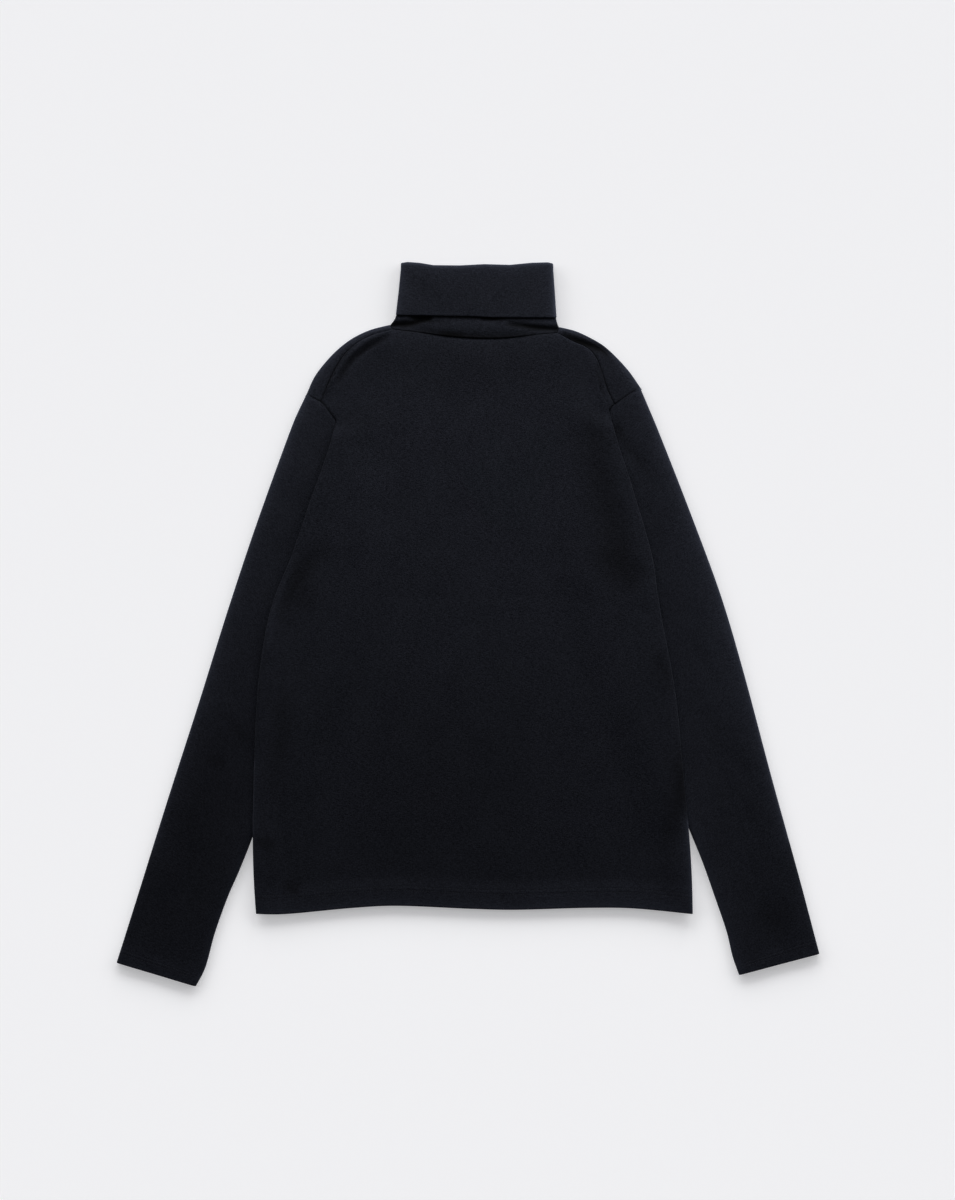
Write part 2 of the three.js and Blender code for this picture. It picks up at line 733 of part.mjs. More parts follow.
function collarPiece() {
  const endInset = 1.9;
  const frontSeam = shiftedOffSeam(frontNeck);
  const backSeam = shiftedOffSeam(backNeck);
  const spread = (seam, ring, side, level) =>
    seam.map((point, k) => {
      const x = mix(ring.left + endInset, ring.right - endInset, k / (seam.length - 1));
      const place = new THREE.Vector3(x, level(x, point), 0);
      return side === 0 ? point.clone() : point.clone().lerp(place, side).setY(place.y);
    });
  const reach = CLOTH / 2;
  const topAt = (x) => readAcross(COLLAR_TOP, x) - reach - COLLAR_FOLD_RADIUS;
  const standRings = STAND_RINGS.map((ring) => {
    const level = (x, seamPoint) => mix(seamPoint.y, topAt(x), ring.rise);
    return collarRing(
      ring,
      spread(frontSeam, ring, ring.side, level),
      spread(backSeam, ring, ring.side, level),
    );
  });
  const turnedRings = TURNED_RINGS.map((ring) => {
    const level = (x) => mix(topAt(x), readAcross(COLLAR_EDGE, x), ring.drop);
    const run = spread(frontSeam, ring, 1, level);
    return collarRing(ring, run, run);
  });
  const stand = STAND_RINGS.at(-1);
  const turned = TURNED_RINGS[0];
  const foldRings = [45, 90, 135].map((degrees) => {
    const turn = THREE.MathUtils.degToRad(degrees);
    const share = (1 - Math.cos(turn)) / 2;
    const ring = Object.fromEntries(
      ["left", "right", "front", "back", "side"].map((key) => [
        key,
        mix(stand[key], turned[key], share),
      ]),
    );
    const run = spread(frontSeam, ring, 1, (x) => topAt(x) + COLLAR_FOLD_RADIUS * Math.sin(turn));
    return collarRing(ring, run, run);
  });
  const rings = [...standRings, ...foldRings, ...turnedRings];
  const square = (i, j) => {
    if (j !== 0) return [];
    return [rings[1][i].clone().sub(rings[0][i]).setZ(0).normalize()];
  };
  return wall({ grid: rings, up: () => reach, down: () => reach, ring: true, square });
}

// The pieces as named meshes
const jersey = new THREE.MeshStandardMaterial({ color: 0x15171c, roughness: 0.95, metalness: 0 });

function piece(name, geometry) {
  const mesh = new THREE.Mesh(geometry, jersey.clone());
  mesh.name = name;
  return mesh;
}

const sweater = new THREE.Group();
sweater.add(
  piece("front", frontPiece()),
  piece("back", backPiece()),
  piece("sleeve_left", sleevePiece("left", true)),
  piece("sleeve_right", sleevePiece("right", false)),
  piece("collar", collarPiece()),
);

export default sweater;
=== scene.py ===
"""A long-sleeved jersey turtleneck sweater laid flat, seen from straight above.

Every cut piece of cloth is one fine shell on the form of its solid, with its creases, its seams and
its knit. Lengths are millimetres until a mesh is made. Right is +X, the collar is at +Y, up is +Z.
"""

from collections import namedtuple

import bpy
import numpy as np
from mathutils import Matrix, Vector


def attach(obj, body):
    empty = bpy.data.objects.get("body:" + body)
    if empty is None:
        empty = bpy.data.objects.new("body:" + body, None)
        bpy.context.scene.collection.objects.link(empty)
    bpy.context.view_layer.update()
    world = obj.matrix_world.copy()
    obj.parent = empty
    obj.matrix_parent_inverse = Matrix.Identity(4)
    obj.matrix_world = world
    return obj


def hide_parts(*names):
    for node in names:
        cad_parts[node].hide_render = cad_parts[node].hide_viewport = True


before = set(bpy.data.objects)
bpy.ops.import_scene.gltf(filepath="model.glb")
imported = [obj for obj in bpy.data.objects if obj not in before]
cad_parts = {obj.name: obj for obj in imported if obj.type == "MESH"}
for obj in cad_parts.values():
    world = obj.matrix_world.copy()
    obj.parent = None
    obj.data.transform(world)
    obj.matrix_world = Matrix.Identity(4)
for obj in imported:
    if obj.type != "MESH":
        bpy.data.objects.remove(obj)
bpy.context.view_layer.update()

METRE = 0.001

# The wall of one layer, of the turned hem, of the turned cuffs and of the collar
CLOTH = 0.9
HEM_CLOTH = 1.9
CUFF_CLOTH = 1.8
COLLAR_CLOTH = CLOTH + 0.3
SEAM_GAP = 0.3
HEM_DEPTH = 21.0
CUFF_DEPTH = 15.0
# Heights of the laid garment, and how much fuller it is a little way in from its folds
FLAT_HEIGHT = 3.4
HEM_HEIGHT = 5.2
CUFF_HEIGHT = 4.8
RIM_LOFT = 1.6
RIM_REACH = 14.0
HEM_LOFT = 0.4
EDGE_RADIUS = 3.0
NECK_LOFT = 0.9
NECK_REACH = 26.0
# How far the sleeves lift the body, and where the body starts and ends its fall beside them
LIFT = 4.0
DRAPE_START = 5.0
DRAPE_REACH = 55.0
# Distances below the top of a side fold at which the body leaves the armhole and lies over the sleeve
CLIMB_STARTS = (0, 7, 14)
CLIMB_FULL = 22.0
CLIMB = 30.0
CLIMB_SPREAD = 0.6
# The step from one row or column of cloth to the next
GRID = 3.0

# Side folds of the body: y, left x, right x, from the hem up
SIDE_FOLDS = np.array([
    (-319, -233.3, 247.3),
    (-280, -235.7, 246.3),
    (-236, -236.7, 243.6),
    (-172, -235.5, 237.5),
    (-84, -232, 229),
    (-40, -227.5, 222),
    (4, -220, 213.5),
    (37, -210, 208),
    (65, -198, 204.5),
    (98, -186, 196.5),
    (131, -175, 186.5),
    (164, -163, 176.5),
    (197, -152, 165.5),
], float)

# Visible armhole seam, from the top of the side fold to the shoulder's tip: x, y
ARMHOLES = {
    "left": [(-145, 224.5), (-152.5, 234), (-161.5, 244.5), (-169.5, 249), (-177.5, 253.5)],
    "right": [(155, 235.5), (157.5, 239), (160.5, 242), (174.5, 251.5), (189, 261.3)],
}

# From the tip of the shoulder to the neck: the fold that is the outline, and the shoulder seam
SHOULDER_FOLDS = {
    "left": [(-177.5, 253.5), (-169, 272), (-157, 288), (-143, 302.5), (-127, 314.5),
             (-108, 323.5), (-86, 329.3)],
    "right": [(189, 261.3), (177.8, 277.4), (164.3, 292.5), (149.6, 306), (135.5, 314.5),
              (118, 322.5), (100.8, 326.8)],
}
SHOULDER_SEAMS = {
    "left": [(-161.5, 244.5), (-152, 268), (-144.5, 283), (-135, 297.5), (-122, 309),
             (-105.5, 317.5), (-83.5, 324)],
    "right": [(160.5, 242), (152, 261), (147, 277.5), (141, 292.5), (132, 303),
              (115, 311), (98.5, 320)],
}

HEM = [(-233.3, -319), (-205, -319.3), (-127, -312.4), (-83, -310), (5, -313.3), (48, -314.3),
       (136, -312), (180, -312.5), (247.3, -318.6)]
FRONT_NECK = [(-52.5, 320.5), (-12, 315.8), (35, 314.6), (79, 318.6)]
BACK_NECK = [(-52, 324.5), (7, 322.5), (64, 324)]

# Sleeves: outer edge, hidden end under the body, and underarm edge
Sleeve = namedtuple("Sleeve", "outer hidden inner")
SLEEVES = {
    "left": Sleeve(
        [(-177.5, 253.5), (-189.6, 228), (-195, 214.5), (-233.2, 109), (-264, 16.5), (-297, -89),
         (-331, -194.7), (-364, -300.3), (-386.8, -372.8)],
        [(-143, 168), (-130, 140), (-125, 95)],
        [(-128, 43), (-148.5, -6.5), (-181.5, -83.5), (-211, -160.5), (-237.4, -235.5),
         (-252.8, -274), (-264.2, -300), (-278.5, -340), (-289.6, -379.5), (-299.5, -398.7)],
    ),
    "right": Sleeve(
        [(189, 261.3), (203.2, 228), (208.8, 214.5), (245, 122), (278.8, 30), (302.4, -49.5),
         (334, -168), (366.8, -287), (386.8, -363)],
        [(155.5, 171), (142, 145), (136, 100)],
        [(138.5, 54), (158.5, -1), (189, -83.5), (217, -155), (241, -220), (257.5, -260.5),
         (271.5, -300), (285, -340), (291.2, -366), (298.2, -386.2)],
    ),
}

# Collar: top fold and free edge of the turned-down part
COLLAR_TOP = [(-74, 397), (-66, 398.2), (-53, 397.2), (-38, 394.7), (-9, 394.4), (18, 395.8),
              (46, 395), (70, 397.3), (88, 397.8), (93, 396.4)]
COLLAR_EDGE = [(-80, 339.9), (7, 338.4), (27, 337.2), (96, 337)]
COLLAR_FOLD = 0.95
COLLAR_REACH = 0.6
COLLAR_END_INSET = 1.9
# Stand: share of the rise, left end, right end, front and back heights, how far the ends are turned out
STAND = np.array([
    (0, -86, 100.8, 2.2, 0.6, 0),
    (0.03, -85, 99.8, 3.2, 0.8, 0.3),
    (0.08, -83, 98.6, 4.1, 1.1, 0.6),
    (0.16, -80, 97.4, 4.5, 1.9, 1),
    (0.27, -78.3, 96.2, 4.5, 2.5, 1),
    (0.6, -75, 94, 4.6, 2.5, 1),
    (0.93, -72.6, 92, 4.6, 2.5, 1),
])
# Turned part: share of the way down, left end, right end, front height, back height
TURNED = np.array([
    (0.1, -74, 93.9, 6.5, 0.6),
    (0.5, -76.2, 95.6, 6.5, 0.6),
    (1, -79.4, 97.4, 6.5, 0.6),
])

# A crease or ridge: how far it rises (a trough is negative), how far it reaches to its left and its
# right, how softly its ends fade, and its run. The same form gives lines of painted shade and painted
# light, where the rise is how much paler the cloth is painted.
Crease = namedtuple("Crease", "rise left right fade run")

# Runs of the creases along which the cloth is also painted darker as painted shade, or paler as painted
# light
LEFT_SHOULDER_TROUGH = [(-83.6, 320.1), (-94.6, 312.4), (-105.6, 306.9), (-114.4, 301.4),
                        (-121, 295.9), (-128.7, 289.3), (-134.2, 281.6), (-139.7, 272.8),
                        (-144, 262)]
RIGHT_SHOULDER_GAP = [(102, 318.6), (114.4, 312.9), (123.2, 309.8), (132, 307), (140.8, 304),
                      (147.4, 300.6), (156, 294)]
LEFT_DENT = [(-146.3, 83.6), (-168.3, 70.4), (-187, 48.4), (-201.3, 20.9), (-209, -1.1)]
RIGHT_TROUGH = [(136.4, 240.9), (141.9, 202.4), (145.2, 169.4), (154, 130.9), (165, 92.4),
                (172.7, 59.4), (189.2, 37.4)]
LEFT_SIDE_RIDGE = [(-190, 72), (-204, 40), (-215, 6), (-222, -40)]
RIGHT_SLEEVE_TROUGH = [(158, 224), (180, 190), (206, 160)]
LEFT_PUCKER = [(-94, 328.4), (-81, 329.4), (-69, 329.6), (-60, 330.8), (-53, 333.2), (-40, 336.4)]
RIGHT_PUCKER = [(42, 330), (57, 328.6), (68, 327), (79, 325.8), (90, 324.9), (108, 324.6)]

FRONT_CREASES = [
    Crease(-2.2, 3.6, 3.6, 0.5, LEFT_SHOULDER_TROUGH),
    Crease(1.4, 2.8, 3.2, 0.4, [(-85.8, 323.4), (-102.3, 315.7), (-113.3, 309.1),
                                (-124.3, 301.4), (-132, 293.7), (-138.6, 283.8),
                                (-144.1, 275), (-150.7, 265.1), (-157.3, 253)]),
    Crease(0.6, 8, 7, 0.8, [(-114.4, 298.1), (-121, 284.9), (-125.4, 272.8), (-134.2, 250.8)]),
    Crease(0.8, 4, 5, 0.5, [(128, 306), (134.2, 292.6), (143, 266.2), (150.7, 238.7),
                            (156, 222)]),
    Crease(-0.5, 2.5, 2.5, 0.5, [(139.7, 286), (145.2, 264), (150.7, 246.4)]),
    Crease(-0.3, 4, 4, 0.3, [(-107.8, 29), (-20, 28.2), (101.2, 28.6), (189.2, 15.4)]),
    Crease(-1.7, 12, 13, 0.8, LEFT_DENT),
    Crease(-1.7, 16, 20, 0.6, RIGHT_TROUGH),
    Crease(-0.5, 8, 8, 1, [(160, 172), (166, 160), (172, 148)]),
    Crease(0.5, 4, 5, 0.6, LEFT_SIDE_RIDGE),
    Crease(-0.6, 7, 9, 1, [(180, 74), (186, 58), (190, 44)]),
    Crease(-0.6, 7, 7, 1, [(184, 22), (194, 14), (206, 8)]),
    Crease(-0.6, 9, 8, 1, [(207, -32), (212, -50), (215, -70)]),
    Crease(-1.0, 9, 10, 0.7, [(-217.8, -171.6), (-206, -230), (-196, -272), (-188, -300)]),
    Crease(-0.8, 10, 8, 0.8, [(224.4, -149.6), (232, -200), (234, -240), (229, -284)]),
]
BACK_CREASES = [
    Crease(0.35, 14, 18, 0.8, [(-120, 190), (-150, 120), (-160, 40)]),
    Crease(0.35, 16, 12, 0.8, [(130, 200), (150, 110), (150, 20)]),
    Crease(0.3, 5, 5, 0.4, [(-190, 26), (-40, 29), (120, 28), (190, 20)]),
    Crease(0.35, 12, 12, 0.8, [(-60, -100), (-90, -200), (-110, -280)]),
]
STRIP_CREASES = [Crease(-2.6, 4, 4, 0.4, RIGHT_SHOULDER_GAP)]
SLEEVE_CREASES = {
    "left": [
        Crease(-0.6, 5, 6, 1, [(-278, -100), (-264, -108), (-250, -122)]),
        Crease(-0.5, 5, 5, 1, [(-290, -133), (-280, -140), (-272, -150)]),
        Crease(-0.8, 16, 22, 0.8, [(-205, 120), (-228, 40), (-252, -40)]),
        Crease(0.5, 12, 14, 0.8, [(-262, -60), (-286, -140), (-312, -230)]),
        Crease(-0.6, 14, 14, 0.8, [(-290, -210), (-312, -280), (-330, -340)]),
    ],
    "right": [
        Crease(-1.0, 8, 10, 0.6, RIGHT_SLEEVE_TROUGH),
        Crease(-0.6, 7, 7, 1, [(191, 136), (197, 124), (201, 112)]),
        Crease(-0.6, 7, 8, 1, [(244, -18), (262, -50), (277, -84)]),
        Crease(-0.6, 8, 8, 1, [(277, -128), (300, -160), (321, -194)]),
        Crease(-0.5, 7, 7, 1, [(305, -200), (311, -222), (314, -240)]),
        Crease(-0.8, 20, 20, 1, [(318, -312), (342, -322), (366, -330)]),
        Crease(0.5, 12, 12, 0.8, [(240, 90), (262, 20), (284, -60)]),
    ],
}
TURNED_CREASES = [
    Crease(-0.35, 6, 9, 0.6, [(27, 394), (26, 380), (25.3, 355)]),
    Crease(-0.3, 5, 6, 1, [(-66, 390), (-63, 380), (-60, 368)]),
    Crease(0.2, 1.6, 1.6, 0.3, [(21.8, 392), (21.8, 366), (21.8, 342)]),
    Crease(0.25, 6, 6, 0.3, [(3, 394), (3, 366), (3, 342)]),
    Crease(-0.3, 12, 16, 0.7, [(-40, 394), (-44, 368), (-40, 342)]),
    Crease(-0.3, 14, 10, 0.7, [(60, 394), (62, 368), (58, 342)]),
]
STRIP_BULGES = [
    Crease(0.7, 9, 9, 0.5, [(-50, 327), (0, 327), (50, 327), (88, 329)]),
    Crease(-2.8, 3.4, 3.4, 0.3, LEFT_PUCKER),
    Crease(0.7, 2.5, 2.5, 0.6, [(-78, 334.5), (-70, 335.5), (-62, 337)]),
    Crease(-2.5, 3, 3.4, 0.4, RIGHT_PUCKER),
    Crease(-1.0, 3, 3, 0.8, [(-66, 337), (-42, 336.6)]),
    Crease(-1.0, 3, 3, 0.8, [(10, 336), (36, 335.5)]),
    Crease(-0.4, 1.6, 1.6, 0.8, [(-44, 332), (-34, 332.4), (-25, 331)]),
]


def plan(points):
    return np.asarray(points, float)


def mix(a, b, share):
    return a + (b - a) * share


def ease(value):
    share = np.clip(value, 0, 1)
    return share * share * (3 - 2 * share)


def smooth(points, steps=24):
    """Points closely spaced on the centripetal Catmull-Rom curve through the given points."""
    points = plan(points)
    padded = np.vstack([2 * points[0] - points[1], points, 2 * points[-1] - points[-2]])
    line = []
    for p0, p1, p2, p3 in zip(padded, padded[1:], padded[2:], padded[3:]):
        d0, d1, d2 = (np.sqrt(np.linalg.norm(b - a)) for a, b in ((p0, p1), (p1, p2), (p2, p3)))
        t1 = ((p1 - p0) / d0 - (p2 - p0) / (d0 + d1) + (p2 - p1) / d1) * d1
        t2 = ((p2 - p1) / d1 - (p3 - p1) / (d1 + d2) + (p3 - p2) / d2) * d1
        t = np.linspace(0, 1, steps, endpoint=False)[:, None]
        line.append(
            p1 + t1 * t + (3 * (p2 - p1) - 2 * t1 - t2) * t**2 + (2 * (p1 - p2) + t1 + t2) * t**3
        )
    return np.vstack([*line, points[-1:]])


def run_of(line):
    """How far along it each point of a line lies."""
    return np.concatenate([[0], np.cumsum(np.linalg.norm(np.diff(line, axis=0), axis=1))])


def at(line, shares):
    """The places on a line at shares of its length."""
    run = run_of(line)
    return np.stack([np.interp(np.asarray(shares) * run[-1], run, c) for c in line.T], axis=-1)


def nearest(points, line):
    """Distance of each point from a line, the share along it of the nearest place, and the side."""
    best = np.full(len(points), np.inf)
    share = np.zeros(len(points))
    side = np.zeros(len(points))
    run = run_of(line)
    for a, b, start in zip(line[:-1], line[1:], run):
        step = np.linalg.norm(b - a)
        along = (b - a) / step
        offset = points - a
        t = np.clip(offset @ along, 0, step)
        away = offset - t[:, None] * along
        distance = np.hypot(away[:, 0], away[:, 1])
        closer = distance < best
        best[closer] = distance[closer]
        share[closer] = (start + t[closer]) / run[-1]
        side[closer] = (along[0] * offset[:, 1] - along[1] * offset[:, 0])[closer]
    return best, share, side


def relief(points, creases):
    """What the creases add at each point, in height or in painted light and shade."""
    total = np.zeros(len(points))
    for crease in creases:
        distance, share, side = nearest(points, smooth(crease.run, 6))
        reach = np.where(side > 0, crease.left, crease.right)
        ends = np.sin(np.pi * np.clip(share, 0, 1)) ** crease.fade
        total += crease.rise * ends * np.exp(-((distance / reach) ** 2))
    return total


# The runs that pieces share
FOLDS = {
    "left": smooth([*SIDE_FOLDS[:, [1, 0]], ARMHOLES["left"][0]]),
    "right": smooth([*SIDE_FOLDS[:, [2, 0]], ARMHOLES["right"][0]]),
}
SHOULDERS = {side: smooth(SHOULDER_FOLDS[side]) for side in FOLDS}
SEAMS = {side: smooth(SHOULDER_SEAMS[side]) for side in FOLDS}
HEM_LINE = smooth(HEM)
THIN = np.linspace(0, 1, 40)


def thinned(line):
    return at(line, THIN)


def below_top(line, distance):
    """The share of a line that ends the given distance before its end."""
    return 1 - distance / run_of(line)[-1]


# The body's folds, beside which it is fuller
RIM_LINES = [
    *(at(fold, THIN * below_top(fold, CLIMB_STARTS[1])) for fold in FOLDS.values()),
    *(thinned(SHOULDERS[side]) for side in FOLDS),
]


def roll_start(side):
    """The run on the underside where the cloth starts to roll over the shoulder's fold."""
    fold = at(SHOULDERS[side], THIN)
    inward = at(SEAMS[side], THIN) - fold
    return fold + EDGE_RADIUS * inward / np.linalg.norm(inward, axis=1)[:, None]


ROLL_STARTS = {side: roll_start(side) for side in FOLDS}
FRONT_NECK_LINE = smooth([SEAMS["left"][-1], *FRONT_NECK, SEAMS["right"][-1]])
BACK_NECK_LINE = smooth([ROLL_STARTS["left"][-1], *BACK_NECK, ROLL_STARTS["right"][-1]])


def rim(points, lines):
    """0 at a fold, 1 at a little way in from it, and less again further in."""
    away = np.min([nearest(points, line)[0] for line in lines], axis=0) / RIM_REACH
    return away * np.exp(1 - away)


def lift(points):
    """How far the body is raised by the sleeves under it."""
    raised = np.zeros(len(points))
    for side, fold in FOLDS.items():
        sign = 1 if side == "left" else -1
        shares = [below_top(fold, d) for d in (*CLIMB_STARTS, CLIMB_FULL, CLIMB)]
        edge = np.vstack([at(fold, shares), SLEEVES[side].hidden, SLEEVES[side].inner])[::-1]
        inside = sign * (points[:, 0] - np.interp(points[:, 1], edge[:, 1], edge[:, 0]))
        inside = np.maximum(inside - DRAPE_START, 0)
        top = fold[-1, 1] + CLIMB_SPREAD * inside
        climbed = at(fold, below_top(fold, CLIMB_FULL))[1]
        climb = ease((top - points[:, 1]) / (top - climbed))
        raised = np.maximum(raised, LIFT * climb * (1 - ease(inside / DRAPE_REACH)))
    return raised


def over_hem(points):
    return points[:, 1] - np.interp(points[:, 0], HEM_LINE[:, 0], HEM_LINE[:, 1])


# How softly the hem's thickness, the body's height over it, and a cuff's thickness and height end
HEM_END = 4.0
HEM_SLOPE = 16.0
CUFF_END = 3.0
CUFF_SLOPE = 10.0


def hem_share(points):
    """1 on the turned hem, falling to 0 just above it."""
    return 1 - ease((over_hem(points) - HEM_DEPTH) / HEM_END)


def body_height(points):
    """Height of the front's face over the face that lies below it."""
    around = RIM_LOFT * rim(points, RIM_LINES)
    away = nearest(points, thinned(FRONT_NECK_LINE))[0] / NECK_REACH
    neck = NECK_LOFT * away * np.exp(1 - away**2)
    near_hem = 1 - ease((over_hem(points) - HEM_DEPTH + HEM_END) / HEM_SLOPE)
    return mix(FLAT_HEIGHT + around + neck, HEM_HEIGHT + HEM_LOFT * around, near_hem)


def needle_grooves(distance, lines, depth=0.22, reach=0.9):
    return -depth * sum(np.exp(-(((distance - line) / reach) ** 2)) for line in lines)


HEM_NEEDLES = (17.0, 20.9)
CUFF_NEEDLES = (11.6, 15.2)


def edge_profile(distance):
    """0 at a rolled edge, 1 where the cloth is flat again."""
    return np.sqrt(np.maximum(1 - (1 - np.clip(distance / EDGE_RADIUS, 0, 1)) ** 2, 0))


# Distances in from an outline at which a rolled edge is drawn
EDGE_STEPS = np.array([0, 0.12, 0.45, 0.95, 1.6, 2.3, 3.0])


# Share of a panel's width that stands under one shoulder
SHOULDER_SHARE = 0.28


def columns_for(width, count):
    """Shares across a row: close at its two edges, even between them and on the shoulders' ends."""
    near = EDGE_STEPS / width
    under = int(count * SHOULDER_SHARE)
    shoulder = np.linspace(near[-1], SHOULDER_SHARE, under)
    neck = np.linspace(SHOULDER_SHARE, 1 - SHOULDER_SHARE, count - 2 * under)
    return np.concatenate([near, shoulder[1:], neck[1:-1], 1 - shoulder[:0:-1], 1 - near[::-1]])


def across_top(shoulders, neck):
    """A function from a column's share to its place along shoulder, neck and shoulder."""
    s = SHOULDER_SHARE

    def place(share):
        return np.where(
            (share < s)[:, None],
            at(shoulders["left"], np.clip(share / s, 0, 1)),
            np.where(
                (share > 1 - s)[:, None],
                at(shoulders["right"], np.clip((1 - share) / s, 0, 1)),
                at(neck, np.clip((share - s) / (1 - 2 * s), 0, 1)),
            ),
        )

    lengths = [run_of(line)[-1] for line in (shoulders["left"], neck, shoulders["right"])]
    knots = np.concatenate([[0], np.cumsum(lengths)]) / sum(lengths)
    return place, lambda share: np.interp(share, [0, s, 1 - s, 1], knots)


def patch(bottom, top, top_share, left, right, rows, count):
    """A grid of plan points between four runs, and the share across of each."""
    grid = []
    shares = []
    corners = [at(bottom, [0])[0], at(bottom, [1])[0], top(np.array([0.0]))[0],
               top(np.array([1.0]))[0]]
    for v in rows:
        start = at(left, [v])[0]
        end = at(right, [v])[0]
        s = columns_for(np.linalg.norm(end - start), count)
        u = mix(s, top_share(s), v)[:, None]
        row = (1 - v) * at(bottom, s) + v * top(s) + (1 - u) * start + u * end
        row -= (1 - u) * ((1 - v) * corners[0] + v * corners[2])
        row -= u * ((1 - v) * corners[1] + v * corners[3])
        grid.append(row)
        shares.append(s)
    return np.array(grid), np.array(shares)


def row_shares(length, extra=()):
    even = np.linspace(0, 1, int(length / GRID) + 1)
    return np.unique(np.concatenate([even, np.asarray(extra) / length]))


def grid_faces(rows, across, ring=False):
    j, i = np.meshgrid(np.arange(rows - 1), np.arange(across if ring else across - 1),
                       indexing="ij")
    k = (i + 1) % across
    return np.stack([j * across + i, j * across + k, (j + 1) * across + k, (j + 1) * across + i],
                    axis=-1).reshape(-1, 4)


RIM_TURNS = np.radians([45, 90, 135])


class Cloth:
    """Sheets of one piece: points, faces, the place in the knit of each point, and its wall."""

    def __init__(self):
        self.points = np.zeros((0, 3))
        self.grain = np.zeros((0, 2))
        self.wall = np.zeros(0)
        self.round = np.zeros(0)
        self.faces = np.zeros((0, 4), int)

    def add(self, points, grain, wall, rounded, faces):
        self.faces = np.vstack([self.faces, faces + len(self.points)])
        self.points = np.vstack([self.points, points])
        self.grain = np.vstack([self.grain, grain])
        self.wall = np.concatenate([self.wall, wall])
        self.round = np.concatenate([self.round, rounded])

    def weld(self):
        """Joins points that lie at the same place."""
        keys = np.round(self.points, 3)
        _, first, same = np.unique(keys, axis=0, return_index=True, return_inverse=True)
        same = same.reshape(-1)
        self.faces = same[self.faces]
        for name in ("points", "grain", "wall", "round"):
            setattr(self, name, getattr(self, name)[first])
        distinct = [len(set(face)) == 4 for face in self.faces.tolist()]
        self.faces = self.faces[distinct]

    def normals(self):
        corner = self.points[self.faces]
        face = np.cross(corner[:, 2] - corner[:, 0], corner[:, 3] - corner[:, 1])
        normal = np.zeros_like(self.points)
        for k in range(4):
            np.add.at(normal, self.faces[:, k], face)
        return normal / np.linalg.norm(normal, axis=1)[:, None]

    def rim_edges(self):
        edges = np.concatenate([self.faces[:, [k, (k + 1) % 4]] for k in range(4)])
        known = set(map(tuple, edges.tolist()))
        return np.array([edge for edge in edges.tolist() if (edge[1], edge[0]) not in known])

    def outward(self, rim, normal):
        """The way out of the sheet at each point of its rim, and nothing elsewhere."""
        out = np.zeros_like(self.points)
        for a, b in rim:
            way = np.cross(self.points[b] - self.points[a], normal[a] + normal[b])
            way /= max(np.linalg.norm(way), 1e-9)
            out[a] += way
            out[b] += way
        return out / np.maximum(np.linalg.norm(out, axis=1), 1e-9)[:, None]

    def thickened(self, up=0.0):
        """Points and faces of the closed wall. A rim is rounded where the sheet says so."""
        normal = self.normals()
        outer = self.points + normal * up
        inner = self.points - normal * (self.wall - up)[:, None]
        count = len(outer)
        rim = self.rim_edges()
        members = np.unique(rim)
        place = np.full(count, -1)
        place[members] = np.arange(len(members))
        out = self.outward(rim, normal)[members]
        middle = (outer[members] + inner[members]) / 2
        half = (outer[members] - inner[members]) / 2
        reach = (self.round * self.wall / 2)[members][:, None]
        bands = [middle + half * np.cos(t) + out * reach * np.sin(t) for t in RIM_TURNS]
        faces = [self.faces, self.faces[:, ::-1] + count]
        a = rim[:, 0]
        b = rim[:, 1]
        levels = [(a, b)]
        for k in range(len(bands)):
            start = 2 * count + k * len(members)
            levels.append((start + place[a], start + place[b]))
        levels.append((a + count, b + count))
        for (a0, b0), (a1, b1) in zip(levels, levels[1:]):
            faces.append(np.stack([b0, a0, a1, b1], axis=1))
        points = np.vstack([outer, inner, *bands])
        grain = np.vstack([self.grain, self.grain, *[self.grain[members]] * len(bands)])
        return points, np.vstack(faces), grain


def mesh_object(name, points, faces, grain=None):
    mesh = bpy.data.meshes.new(name)
    mesh.from_pydata((points * METRE).tolist(), [], [list(face) for face in faces])
    mesh.validate()
    mesh.update()
    if grain is not None:
        layer = mesh.attributes.new("grain", "FLOAT_VECTOR", "POINT")
        layer.data.foreach_set("vector", grain.reshape(-1))
    mesh.shade_smooth()
    made = bpy.data.objects.new(name, mesh)
    bpy.context.scene.collection.objects.link(made)
    return made


def edge_run(side, armhole_points):
    return np.vstack([FOLDS[side], armhole_points])


def roll_shares(rows, side, edge):
    """How fully the edge is rolled at each row: not at all beside the armhole."""
    length = run_of(edge)[-1]
    corner = run_of(FOLDS[side])[-1]
    return np.clip((corner - rows * length) / CLIMB_FULL, 0, 1)


# The zone under the shoulders and neck where a panel's rows lie close, and their steps
FINE_ZONE = 150.0
FINE_GRID = 1.5
COARSE_GRID = 3.7
# Distances above the hem's edge at which a panel has more rows, close at the needle lines
HEM_ROWS = [HEM_CLOTH / 2, 1.6, 2.4, 15.5, 16.2, 17, 17.8, 18.9, 20.1, 20.9, 21.7, 22.6]
PANEL_COLUMNS = 160


def panel_rows(length):
    """Shares of a panel's length at which it has rows."""
    rows = np.concatenate([
        np.arange(0, length - FINE_ZONE, COARSE_GRID),
        np.arange(length - FINE_ZONE, length - FINE_GRID / 2, FINE_GRID),
        HEM_ROWS,
        [length],
    ])
    return np.unique(rows[rows >= HEM_CLOTH / 2 - 1e-6]) / length


def from_ends(grid):
    """Distance of each point of a grid from the nearer end of its row."""
    ends = [np.linalg.norm(grid - end, axis=2) for end in (grid[:, :1], grid[:, -1:])]
    return np.minimum(*ends).reshape(-1)


def panel_profile(grid, shares, rows, edges):
    """The edge profile of a panel: rolled at its side folds and flat at its armholes."""
    rolled = [np.repeat(roll_shares(rows, side, edges[side]), grid.shape[1]) for side in FOLDS]
    in_left_half = (shares < 0.5).reshape(-1)
    return mix(1, edge_profile(from_ends(grid)), np.where(in_left_half, *rolled))


